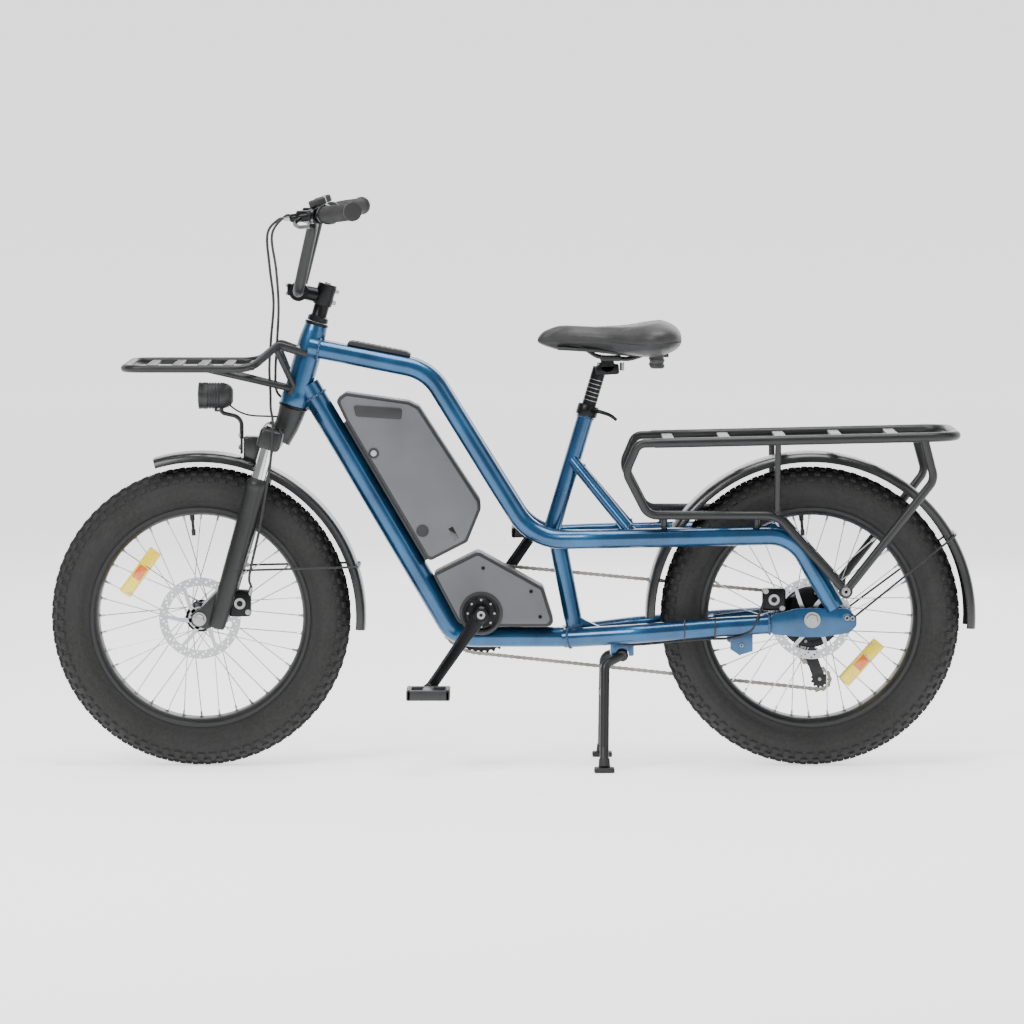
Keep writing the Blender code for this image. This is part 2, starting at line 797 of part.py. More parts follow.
def add_spokes(hub, centre, flange, flange_y):
    """Thin bars from the hub's flanges to just inside the rim, as one mesh of separate solids."""
    bm = bmesh.new()
    length = RIM_INNER - GAP - 0.001 - (flange - 0.004)
    for index in range(SPOKE_COUNT):
        side = 1 if index % 2 else -1
        angle = 2 * math.pi * (index + 0.5) / SPOKE_COUNT
        out = Vector((math.cos(angle), 0, math.sin(angle)))
        start = out * (flange - 0.004) + Y_AXIS * side * flange_y
        end = out * (flange - 0.004 + length) + Y_AXIS * side * 0.012
        run = end - start
        turn = run.to_track_quat("Z", "Y").to_matrix().to_4x4()
        bmesh.ops.create_cone(
            bm,
            cap_ends=True,
            segments=3,
            radius1=SPOKE_RADIUS,
            radius2=SPOKE_RADIUS,
            depth=run.length,
            matrix=Matrix.Translation(centre + (start + end) / 2) @ turn,
        )
    return fuse(hub, from_bmesh("spokes", bm))


def make_front_hub(metal):
    bore = AXLE_RADIUS + GAP
    half = FRONT_HUB_HALF
    flange = FRONT_FLANGE
    right = [
        (flange - 0.013, 0.024),
        (flange, 0.029),
        (flange, 0.034),
        (flange - 0.015, 0.037),
        (flange - 0.015, half),
        (bore, half),
    ]
    profile = [(r, -y) for r, y in reversed(right)] + right
    hub = lathe("front_hub", profile, front(0, 0), 18)
    return finish(add_spokes(hub, front(0, 0), flange, 0.0315), metal)


def make_rear_hub(metal):
    bore = AXLE_RADIUS + GAP
    half = REAR_HUB_HALF
    shell = REAR_FLANGE
    profile = [
        (bore, -half - 0.020),
        (0.020, -half - 0.020),
        (0.024, -half - 0.004),
        (shell - 0.010, -half),
        (shell, -half + 0.006),
        (shell, half - 0.006),
        (shell - 0.010, half),
        (0.024, half + 0.001),
        (bore, half + 0.001),
    ]
    hub = lathe("rear_hub_motor", profile, rear(0, 0), 24)
    return finish(add_spokes(hub, rear(0, 0), shell, half - 0.009), metal)


def make_rotor(name, centre, y, hub_face, bore, metal):
    """A brake disc with its carrier reaching back to the hub's end."""
    half = ROTOR_WALL / 2
    profile = [
        (bore, y - half),
        (ROTOR_RADIUS, y - half),
        (ROTOR_RADIUS, y + half),
        (bore + 0.012, y + half),
        (bore + 0.008, hub_face - GAP),
        (bore, hub_face - GAP),
    ]
    return finish(lathe(name, profile, centre, 28), metal)


def make_cassette(metal):
    start = REAR_HUB_HALF + 0.001 + GAP
    profile = [(AXLE_RADIUS + GAP, start)]
    for index, radius in enumerate(COG_RADII):
        profile += [(radius, start + COG_PITCH * index), (radius, start + COG_PITCH * (index + 1))]
    profile.append((AXLE_RADIUS + GAP, start + COG_PITCH * len(COG_RADII)))
    return finish(lathe("cassette", profile, rear(0, 0), 18), metal)


def fender_angles(low, high, step_deg):
    count = round(high / step_deg)
    return [math.radians(low)] + [math.radians(high * step / count) for step in range(count + 1)]


def fender_profile():
    half = TYRE_WIDTH / 2 + FENDER_SIDE_GAP
    wall = FENDER_WALL
    top = FENDER_RADIUS
    outer = [(top - 0.016, -half), (top, -half + 0.010)]
    inner = [(top - wall, -half + 0.0125), (top - 0.016, -half + wall)]
    return outer + [(r, -y) for r, y in reversed(outer)] + [(r, -y) for r, y in inner] + inner[::-1]


def wire_stay(name, foot, tip_angle, centre, foot_half):
    """A U of wire from both sides of the wheel over the fender's outside."""
    half = TYRE_WIDTH / 2 + FENDER_SIDE_GAP + 0.0045
    wire = 0.0025
    reach = FENDER_RADIUS + 0.0003
    out = Vector((math.cos(tip_angle), 0, math.sin(tip_angle)))
    tip = centre + reach * out
    points = [
        foot + Y_AXIS * -foot_half,
        tip + Y_AXIS * -half,
        tip + Y_AXIS * half,
        foot + Y_AXIS * foot_half,
    ]
    return tube(name, rounded(points, [0.008, 0.008], 2), wire, 6)


def make_fenders(plastic):
    angles = fender_angles(-4.5, 106.5, 9)
    fender = lathe("front_fender", fender_profile(), front(0, 0), angles=angles)
    fuse(fender, wire_stay("stay", front(0.088, 0.095), math.radians(18), front(0, 0), 0.066))
    hanger = block("hanger", front(0.102, 0.330), (0.038, 0.050, 0.060), 0.002)
    fuse(fender, hanger)
    cut(fender, crown_shape("cutter", GAP))
    for side in (-1, 1):
        cut(fender, leg_tube("cutter", side, GAP))
    finish(fender, plastic)
    angles = fender_angles(-4.0, 180.0, 9)
    fender = lathe("rear_fender", fender_profile(), rear(0, 0), angles=angles)
    face = DROPOUT_INNER + DROPOUT_WALL + 0.0085
    fuse(fender, wire_stay("stay", rear(0.078, 0.004), math.radians(30), rear(0, 0), face + 0.0028))
    return finish(fender, plastic)


def make_axles(metal):
    for name, centre, half in (
        ("front_axle", front(0, 0), FORK_INNER - GAP),
        ("rear_axle", rear(0, 0), DROPOUT_INNER - GAP),
    ):
        finish(disc(name, centre, AXLE_RADIUS, half, 16), metal)


def caliper_shape(name, centre, rotor_y, size, axle):
    """A block over the disc's edge, with a slot that the disc runs in."""
    body = block(name, Vector((centre.x, rotor_y, centre.z)), size, 0.003)
    slot = disc("slot", Vector((axle.x, rotor_y, axle.z)), ROTOR_RADIUS + 0.003, 0.003, 48)
    return cut(body, slot)


def make_calipers(metal):
    centre = front(0.079, 0.030)
    caliper = caliper_shape("front_caliper", centre, FRONT_ROTOR_Y, (0.044, 0.036, 0.052), front(0, 0))
    cut(caliper, leg_tube("cutter", -1, GAP), leg_plate("cutter", -1, GAP))
    finish(caliper, metal)
    centre = rear(-0.074, 0.038)
    caliper = caliper_shape("rear_caliper", centre, REAR_ROTOR_Y, (0.046, 0.033, 0.044), rear(0, 0))
    cut(caliper, tube("cutter", stay_route(-1), STAY_RADIUS + GAP, 8))
    cut(caliper, dropout_shape("cutter", -1, GAP))
    return finish(caliper, metal)


# Fork, bars and lamp

CROWN_LOW = -0.175
LEG_LOW = -0.540
LOWER_TOP = -0.240


def crown_shape(name, grow):
    size = (0.046 + 2 * grow, 2 * (LEG_SPREAD + 0.022 + grow), 0.040 + 2 * grow)
    centre = steer(CROWN_LOW + 0.020, LEG_AHEAD)
    bridge = block(name, centre, size, 0.006, HEAD_TILT)
    neck_low, neck_high = steer(CROWN_LOW + 0.020, 0.010), steer(HEAD_LOW - RUNNING_GAP + grow)
    neck = tube("neck", [neck_low, steer(-0.125), neck_high], [0.024 + grow] * 3, 12)
    return fuse(bridge, neck)


def leg_tube(name, side, grow):
    y = side * LEG_SPREAD
    stops = [
        (CROWN_LOW - GAP, STANCHION_RADIUS),
        (LOWER_TOP, STANCHION_RADIUS),
        (LOWER_TOP - 0.001, LEG_RADIUS + 0.0015),
        (LOWER_TOP - 0.014, LEG_RADIUS + 0.0015),
        (LOWER_TOP - 0.018, LEG_RADIUS),
        (-0.400, LEG_RADIUS),
        (LEG_LOW, LEG_RADIUS - 0.004),
    ]
    ends = [steer(along, LEG_AHEAD, y) for along, _ in stops]
    return tube(name, ends, [radius + grow for _, radius in stops], 12)


def leg_plate(name, side, grow):
    """The flat end of a fork leg, reaching forward to the axle."""
    low = min(side * FORK_INNER, side * (FORK_INNER + FORK_PLATE)) - grow
    high = max(side * FORK_INNER, side * (FORK_INNER + FORK_PLATE)) + grow
    outline = [
        front(-0.016, -0.012),
        front(-0.016, 0.010),
        front(0.004, 0.022),
        steer(-0.455, LEG_AHEAD + 0.010),
        steer(-0.455, LEG_AHEAD - 0.008),
        steer(LEG_LOW + 0.012, LEG_AHEAD - 0.008),
        front(0.014, -0.020),
    ]
    return prism(name, outline, low, high)


def make_fork(metal):
    finish(crown_shape("fork_crown", 0), metal)
    for side, word in ((-1, "left"), (1, "right")):
        leg = leg_tube(f"{word}_fork_leg", side, 0)
        nut_y = side * (FORK_INNER + FORK_PLATE + 0.005)
        nut = disc("nut", front(0, 0, nut_y), 0.010, 0.009, 6)
        fuse(leg, leg_plate("plate", side, 0), nut)
        finish(leg, metal)


def bar_points():
    return [
        front(0.252, 0.794, GRIP_INNER_Y - GAP),
        front(0.230, 0.790, 0.150),
        front(0.2255, 0.770, 0.118),
        front(0.197, 0.650, 0.062),
        front(0.194, 0.640, 0.040),
    ]


def bar_route():
    right = bar_points()
    points = right + mirrored(right)[::-1]
    return rounded(points, [0.040, 0.050, 0.040, 0.03, 0.03, 0.040, 0.050, 0.040], 2)


def make_bars(metal, rubber, plastic):
    route = bar_route()
    finish(tube("handlebar", route, BAR_RADIUS, 10), metal)
    clamp_at = front(0.194, 0.640)
    post = tube(
        "stem",
        [steer(HEAD_TOP + RUNNING_GAP), steer(0.098), steer(0.102), steer(0.122), steer(0.124), steer(0.165)],
        [0.0205, 0.0205, 0.0150, 0.0150, 0.0185, 0.0185],
        12,
    )
    reach = tube("reach", [steer(0.145), clamp_at], 0.0135, 8)
    jaw = disc("jaw", clamp_at, 0.0195, 0.024, 14)
    bolts = [
        tube("bolt", [steer(along, 0, 0), steer(along, -0.028, 0)], 0.0055, 6) for along in (0.133, 0.156)
    ]
    fuse(post, reach, jaw, *bolts)
    cut(post, tube("cutter", route, BAR_RADIUS + GAP, 10))
    finish(post, metal)

    for side, word in ((-1, "left"), (1, "right")):
        inner = front(0.252, 0.794, side * GRIP_INNER_Y)
        outer = front(0.310, 0.802, side * GRIP_OUTER_Y)
        along = (outer - inner).normalized()
        length = (outer - inner).length
        stops = [(0, 0.0175), (0.006, 0.0175), (0.010, GRIP_RADIUS), (length * 0.5, GRIP_RADIUS + 0.0012)]
        stops += [(length - 0.008, GRIP_RADIUS), (length - 0.004, 0.0185), (length, 0.0165)]
        grip = tube(f"{word}_grip", [inner + along * s for s, _ in stops], [r for _, r in stops], 12)
        finish(grip, rubber)
        make_controls(word, side, plastic, route)


def make_controls(word, side, plastic, route):
    """Brake lever with its perch, and beside it the display on the left or the shifter on the right."""
    perch_at = front(0.238, 0.792, side * 0.172)
    perch = disc("perch", perch_at, 0.0165, 0.010, 12, Vector((0.42 * side, 1, 0)).normalized())
    perch.name = f"{word}_controls"
    body = tube(
        "body",
        [perch_at, front(0.215, 0.790, side * 0.168), front(0.184, 0.786, side * 0.160)],
        [0.010, 0.010, 0.008],
        6,
    )
    blade = tube(
        "blade",
        rounded(
            [
                front(0.205, 0.789, side * 0.166),
                front(0.193, 0.776, side * 0.192),
                front(0.206, 0.770, side * 0.240),
                front(0.232, 0.774, side * 0.300),
            ],
            [0.02, 0.05],
            2,
        ),
        0.0048,
        6,
    )
    case_at = front(0.2365, 0.8165, side * 0.146)
    case = block("case", case_at, (0.034, 0.046, 0.016), 0.003, -0.3)
    foot = tube("foot", [perch_at, case_at], 0.006, 6)
    fuse(perch, body, blade, case, foot)
    cut(perch, tube("cutter", route, BAR_RADIUS + GAP, 10))
    return finish(perch, plastic)


def make_headlight(plastic):
    lamp_low, lamp_high = front(-0.004, 0.4345), front(0.064, 0.4345)
    axis = (lamp_high - lamp_low).normalized()
    stops = [(0, 0.0255), (0.004, 0.0265), (0.040, 0.0260), (0.058, 0.0230), (0.068, 0.0150)]
    lamp = tube("headlight", [lamp_low + axis * s for s, _ in stops], [r for _, r in stops], 14)
    arm = rounded(
        [
            front(0.036, 0.420),
            front(0.044, 0.400),
            front(0.0805, 0.392),
            front(0.0805, 0.366),
        ],
        [0.01, 0.02],
        3,
    )
    plate = block("plate", front(0.0805, 0.345), (0.004, 0.028, 0.050), 0.001)
    return finish(fuse(lamp, tube("arm", arm, 0.004, 6), plate), plastic)


# Drive


def belt_route(wheels):
    """The closed route of a belt round wheels of (x, z, radius, sense): sense 1 turns clockwise."""
    ends = []
    count = len(wheels)
    for index in range(count):
        x1, z1, r1, s1 = wheels[index]
        x2, z2, r2, s2 = wheels[(index + 1) % count]
        away = math.atan2(z2 - z1, x2 - x1) + math.asin((s2 * r2 - s1 * r1) / math.hypot(x2 - x1, z2 - z1))
        left = Vector((-math.sin(away), 0, math.cos(away)))
        ends.append((s1 * left, s2 * left))
    route = []
    for index in range(count):
        x, z, radius, sense = wheels[index]
        arrive, leave = ends[index - 1][1], ends[index][0]
        start = math.atan2(arrive.z, arrive.x)
        sweep = (math.atan2(leave.z, leave.x) - start) * -sense % (2 * math.pi)
        steps = max(3, round(sweep / math.radians(12)))
        for step in range(steps + 1):
            angle = start - sense * sweep * step / steps
            out = Vector((math.cos(angle), 0, math.sin(angle)))
            route.append((Vector((x, 0, z)) + radius * out, out * sense))
    return route


GUIDE_PULLEY = (0.004, -0.0800)
TENSION_PULLEY = (0.023, -0.1320)


def make_chain(metal):
    wheels = [
        (CRANK_X, CRANK_Z, CHAINRING_RADIUS, 1),
        (REAR_X, AXLE_Z, COG_RADIUS, 1),
        (REAR_X + GUIDE_PULLEY[0], AXLE_Z + GUIDE_PULLEY[1], PULLEY_RADIUS, -1),
        (REAR_X + TENSION_PULLEY[0], AXLE_Z + TENSION_PULLEY[1], PULLEY_RADIUS, 1),
    ]
    bm = bmesh.new()
    low, high = CHAIN_Y - CHAIN_WIDTH / 2, CHAIN_Y + CHAIN_WIDTH / 2
    rings = []
    for point, out in belt_route(wheels):
        corners = [(CHAIN_HALF, low), (CHAIN_HALF, high), (-CHAIN_HALF, high), (-CHAIN_HALF, low)]
        rings.append([bm.verts.new(point + out * lift + Y_AXIS * y) for lift, y in corners])
    for one, two in zip(rings, rings[1:] + rings[:1]):
        for index in range(4):
            after = (index + 1) % 4
            bm.faces.new((one[index], one[after], two[after], two[index]))
    return finish(from_bmesh("chain", bm), metal)


def make_derailleur(metal):
    guide, tension = rear(*GUIDE_PULLEY), rear(*TENSION_PULLEY)
    plate_y = CHAIN_Y + CHAIN_WIDTH / 2 + 0.004
    cage = tube("derailleur", [guide + Y_AXIS * plate_y, tension + Y_AXIS * plate_y], 0.0125, 8)
    squash = Matrix.Translation((0, plate_y, 0)) @ Matrix.Diagonal((1, 0.16, 1, 1))
    cage.data.transform(squash @ Matrix.Translation((0, -plate_y, 0)))
    radius = PULLEY_RADIUS - CHAIN_HALF - RUNNING_GAP
    pieces = []
    for centre in (guide, tension):
        pieces.append(disc("pulley", centre + Y_AXIS * CHAIN_Y, radius, CHAIN_WIDTH / 2 - 0.0005, 14))
        pieces.append(disc("boss", centre + Y_AXIS * (CHAIN_Y + 0.004), 0.006, 0.005, 8))
    body = [
        guide + Y_AXIS * (plate_y + 0.004),
        rear(-0.012, -0.066, plate_y + 0.011),
        rear(-0.002, -0.044, plate_y + 0.013),
        rear(0.004, -0.0415, plate_y + 0.016),
    ]
    pieces.append(tube("body", body, [0.010, 0.014, 0.009, 0.007], 8))
    fuse(cage, *pieces)
    cut(cage, dropout_shape("cutter", 1, GAP))
    return finish(cage, metal)


def crank_end(side):
    """The pedal axle's point in the side view: the left arm points down and forward, the right one opposite."""
    down = Vector((-math.sin(CRANK_ANGLE), 0, -math.cos(CRANK_ANGLE)))
    return middle(0, CRANK_RISE) - side * CRANK_LENGTH * down


def make_cranks(metal):
    axle = middle(0, CRANK_RISE)
    for side, word in ((-1, "left"), (1, "right")):
        inner = CRANK_INNER + CRANK_WALL / 2
        end = crank_end(side)
        start = axle + Y_AXIS * side * inner
        knee = axle + (end - axle) * 0.30 + Y_AXIS * side * inner
        tip = end + Y_AXIS * side * (inner + CRANK_FLARE)
        across = Y_AXIS.cross((end - axle).normalized())
        arm = flat_bar(f"{word}_crank", [start, knee, tip], [0.0135, 0.0120, 0.0105], CRANK_WALL / 2, across)
        hub = disc("hub", start, 0.017, CRANK_WALL / 2 + 0.003, 16)
        eye = disc("eye", tip, 0.013, CRANK_WALL / 2, 14)
        fuse(arm, hub, eye)
        if side > 0:
            rod = disc("rod", axle + Y_AXIS * 0.0045, 0.0085, CRANK_INNER + 0.0005, 16)
            fuse(arm, rod)
            ring_radius = CHAINRING_RADIUS - CHAIN_HALF - RUNNING_GAP
            ring = disc("ring", axle + Y_AXIS * CHAIN_Y, ring_radius, 0.0017, 32)
            hole = disc("hole", axle + Y_AXIS * CHAIN_Y, CHAINRING_RADIUS * 0.64, 0.0100, 20)
            cut(ring, hole)
            inner_ring = CHAINRING_RADIUS * 0.66
            spider = []
            for step in range(5):
                angle = 2 * math.pi * step / 5
                out = Vector((math.cos(angle), 0, math.sin(angle)))
                spider.append(
                    tube(
                        "spider",
                        [
                            axle + Y_AXIS * (CRANK_INNER - 0.002),
                            axle + out * inner_ring * 0.55 + Y_AXIS * (CHAIN_Y + 0.012),
                            axle + out * (inner_ring + 0.004) + Y_AXIS * CHAIN_Y,
                        ],
                        [0.007, 0.0055, 0.0045],
                        6,
                    )
                )
            fuse(arm, ring, *spider)
        finish(arm, metal)


def make_pedals(plastic):
    for side, word in ((-1, "left"), (1, "right")):
        inner = CRANK_INNER + CRANK_WALL + CRANK_FLARE + 0.001
        end = crank_end(side)
        spindle = disc("spindle", end + Y_AXIS * side * (inner + 0.008), 0.008, 0.0075, 12)
        centre = end + Y_AXIS * side * (inner + 0.012 + PEDAL_LENGTH / 2)
        pedal = block(f"{word}_pedal", centre, (PEDAL_DEPTH, PEDAL_LENGTH, PEDAL_THICKNESS), 0.004)
        wells = []
        for dx in (-1, 1):
            well = centre + Vector((dx * PEDAL_DEPTH * 0.245, 0, 0))
            wells.append(block("well", well, (PEDAL_DEPTH * 0.27, PEDAL_LENGTH - 0.024, 0.1)))
        cut(pedal, *wells)
        finish(fuse(pedal, spindle), plastic)


def make_stand(metal):
    pivot = stand_pivot()
    half = STAY_SPREAD - 0.021
    stand = disc("center_stand", pivot, STAND_TUBE, half, 16)
    pieces = []
    for side in (-1, 1):
        route = rounded(
            [
                pivot + Y_AXIS * side * (half - 0.006),
                pivot + Vector((-0.034, side * (half + 0.012), -0.016)),
                pivot + Vector((-0.036, side * (STAND_SPREAD - 0.018), 0.045 - STAND_Z)),
                pivot + Vector((-0.036, side * STAND_SPREAD, 0.0095 - STAND_Z)),
            ],
            [0.02, 0.02],
            4,
        )
        pieces.append(tube("leg", route, STAND_LEG, 8))
        foot = pivot + Vector((-0.036, side * (STAND_SPREAD + 0.002), 0.005 - STAND_Z))
        pieces.append(block("foot", foot, (0.040, 0.034, 0.010), 0.002))
    brace = pivot + Vector((-0.0355, 0, -0.084))
    pieces.append(disc("brace", brace, 0.007, half + 0.026, 8))
    return finish(fuse(stand, *pieces), metal)


# Hoses, held at both ends


def make_hoses(rubber):
    front_points = [
        front(0.1760, 0.785, -0.1585),
        front(0.160, 0.783, -0.152),
        front(0.138, 0.755, -0.125),
        front(0.140, 0.690, -0.080),
        front(0.146, 0.620, -0.045),
        front(0.140, 0.550, -0.020),
        front(0.136, 0.490, -0.012),
        front(0.138, 0.440, -0.014),
        front(0.140, 0.412, -0.050),
        front(0.146, 0.390, -LEG_SPREAD - 0.024),
        front(0.145, 0.345, -LEG_SPREAD - 0.036),
        front(0.139, 0.290, -LEG_SPREAD - 0.0355),
        front(0.120, 0.180, -LEG_SPREAD - 0.032),
        front(0.100, 0.090, -LEG_SPREAD - 0.024),
        front(0.102, 0.064, -LEG_SPREAD),
    ]
    rear_points = [
        front(0.1760, 0.785, 0.1585),
        front(0.160, 0.783, 0.152),
        front(0.136, 0.748, 0.125),
        front(0.146, 0.680, 0.080),
        front(0.152, 0.610, 0.045),
        front(0.150, 0.540, 0.020),
        front(0.147, 0.480, 0.010),
        front(0.150, 0.440, 0.020),
        front(0.175, 0.420, 0.0365),
        front(0.207, 0.408, 0.0375),
        front(0.234, 0.394, 0.0300),
        front(0.2500, 0.3800, 0.0160),
    ]
    finish(tube("front_brake_hose", smooth_route(front_points, 2), HOSE_RADIUS, 8), rubber)
    rear_hose = tube("rear_brake_hose", smooth_route(rear_points, 2), HOSE_RADIUS, 8)
    finish(cut(rear_hose, down_shape("cutter", GAP)), rubber)


# Assembly


def empty_at(name, place, parent=None):
    empty = bpy.data.objects.new(name, None)
    bpy.context.scene.collection.objects.link(empty)
    empty.location = place
    if parent:
        empty.parent = parent
        empty.location = place - parent.matrix_world.translation
    bpy.context.view_layer.update()
    return empty


def hang(names, pivot):
    """Puts the objects' origins on the pivot and hangs them from it."""
    place = pivot.matrix_world.translation
    for name in names:
        obj = bpy.data.objects[name]
        obj.data.transform(Matrix.Translation(-place))
        obj.parent = pivot


def main():
    clear_scene()
    paint = make_material("blue_paint", (0.05, 0.16, 0.30), 0.32, 0.55)
    black_metal = make_material("black_metal", (0.018, 0.018, 0.019), 0.40, 0.40)
    plastic = make_material("black_plastic", (0.025, 0.025, 0.026), 0.50, 0.0)
    case = make_material("grey_case", (0.13, 0.13, 0.135), 0.45, 0.0)
    rubber = make_material("tyre_rubber", (0.02, 0.02, 0.02), 0.80, 0.0)
    steel = make_material("steel", (0.60, 0.60, 0.61), 0.28, 1.0)

    make_frame(paint)
    make_bottom_bracket(black_metal)
    make_stand_bracket(paint)
    make_battery(case)
    make_drive_cover(case)
    make_top_pad(plastic)
    make_saddle(plastic, black_metal)
    make_rear_rack(black_metal)
    make_front_rack(black_metal)
    make_fenders(plastic)
    make_axles(steel)
    make_calipers(black_metal)
    make_derailleur(black_metal)
    make_chain(steel)
    make_fork(black_metal)
    make_bars(black_metal, rubber, plastic)
    make_headlight(plastic)
    make_hoses(rubber)
    for word, centre in (("front", front(0, 0)), ("rear", rear(0, 0))):
        make_tyre(f"{word}_tyre", centre, rubber)
        make_rim(f"{word}_rim", centre, black_metal)
    make_front_hub(black_metal)
    make_rear_hub(black_metal)
    bore = AXLE_RADIUS + GAP
    make_rotor("front_rotor", front(0, 0), FRONT_ROTOR_Y, -FRONT_HUB_HALF, bore, steel)
    make_rotor("rear_rotor", rear(0, 0), REAR_ROTOR_Y, -REAR_HUB_HALF - 0.020, bore, steel)
    make_cassette(steel)
    make_cranks(black_metal)
    make_pedals(plastic)
    make_stand(black_metal)

    steering = empty_at("steering_axis", steer(0))
    wheel = empty_at("front_wheel_axis", front(0, 0), steering)
    crank = empty_at("crank_axis", middle(0, CRANK_RISE))
    hang(
        ["fork_crown", "left_fork_leg", "right_fork_leg", "front_axle", "stem", "handlebar", "left_grip"]
        + ["right_grip", "left_controls", "right_controls", "headlight", "front_fender", "front_caliper"]
        + ["front_brake_hose"],
        steering,
    )
    hang(["front_tyre", "front_rim", "front_hub", "front_rotor"], wheel)
    hang(
        ["rear_tyre", "rear_rim", "rear_hub_motor", "rear_rotor", "cassette"],
        empty_at("rear_wheel_axis", rear(0, 0)),
    )
    hang(["left_crank", "right_crank"], crank)
    hang(["left_pedal"], empty_at("left_pedal_axis", crank_end(-1), crank))
    hang(["right_pedal"], empty_at("right_pedal_axis", crank_end(1), crank))
    hang(["center_stand"], empty_at("stand_axis", stand_pivot()))


main()
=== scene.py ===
import math

import bmesh
import bpy
from mathutils import Matrix, Vector


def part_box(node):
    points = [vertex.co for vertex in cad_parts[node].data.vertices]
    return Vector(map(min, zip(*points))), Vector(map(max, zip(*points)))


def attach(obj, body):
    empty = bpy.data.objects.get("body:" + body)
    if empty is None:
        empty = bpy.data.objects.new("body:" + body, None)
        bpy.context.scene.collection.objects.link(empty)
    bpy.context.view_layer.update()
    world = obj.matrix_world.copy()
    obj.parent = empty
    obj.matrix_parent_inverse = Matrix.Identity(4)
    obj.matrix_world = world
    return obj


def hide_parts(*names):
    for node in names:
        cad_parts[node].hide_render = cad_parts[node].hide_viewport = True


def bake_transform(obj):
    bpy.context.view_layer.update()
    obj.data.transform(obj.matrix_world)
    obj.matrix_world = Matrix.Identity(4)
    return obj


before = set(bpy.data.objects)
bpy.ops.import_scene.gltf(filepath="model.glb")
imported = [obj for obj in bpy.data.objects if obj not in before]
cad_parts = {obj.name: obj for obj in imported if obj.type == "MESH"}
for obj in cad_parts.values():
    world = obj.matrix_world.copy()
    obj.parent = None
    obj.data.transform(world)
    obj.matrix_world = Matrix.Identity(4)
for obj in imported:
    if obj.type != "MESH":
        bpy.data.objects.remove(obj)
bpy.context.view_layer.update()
print("frame loaded,", len(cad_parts), "nodes")

turn = 2 * math.pi
across = Vector((0, 1, 0))
upward = Vector((0, 0, 1))
sides = {"left": -1, "right": 1}


# Places, all read from the frame

def middleOf(node):
    low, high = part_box(node)
    return (low + high) / 2


frontAxle = middleOf("front_axle")
rearAxle = middleOf("rear_axle")
crankAxle = Vector((middleOf("bottom_bracket").x, 0, middleOf("bottom_bracket").z))
wheelRadius = rearAxle.z
steering = {"tilt": math.radians(16), "run": 0.2055, "rise": 0.495, "legsAhead": 0.024}


def front(dx, dz, y=0.0):
    return frontAxle + Vector((dx, y, dz))


def middle(dx, dz, y=0.0):
    return Vector((crankAxle.x + dx, y, wheelRadius + dz))


def rear(dx, dz, y=0.0):
    return rearAxle + Vector((dx, y, dz))


def steer(along, ahead=0.0, y=0.0):
    tilt = steering["tilt"]
    up = Vector((math.sin(tilt), 0, math.cos(tilt)))
    fore = Vector((-math.cos(tilt), 0, math.sin(tilt)))
    return front(steering["run"], steering["rise"], y) + along * up + ahead * fore


def mirrored(points):
    return [Vector((p.x, -p.y, p.z)) for p in points]


# Camera, floor and light

studio = {
    "cameraAt": (-0.0024, -11.0, 1.3),
    "pitch": 4.16,
    "lens": 196.8,
    "floor": "#F4F4F4",
    "world": "#FFFFFF",
    "worldStrength": 0.4,
    "paperGlow": 1.25,
    "sweepAt": 14.0,
    "sweepRadius": 8.0,
}


def toLinear(hexText):
    values = [int(hexText[i : i + 2], 16) / 255 for i in (1, 3, 5)]
    return tuple(v / 12.92 if v <= 0.04045 else ((v + 0.055) / 1.055) ** 2.4 for v in values) + (1.0,)


def addNode(tree, kind, inputs=None, **settings):
    node = tree.nodes.new(kind)
    for key, value in settings.items():
        setattr(node, key, value)
    for key, value in (inputs or {}).items():
        if isinstance(value, bpy.types.NodeSocket):
            tree.links.new(value, node.inputs[key])
        else:
            node.inputs[key].default_value = value
    return node


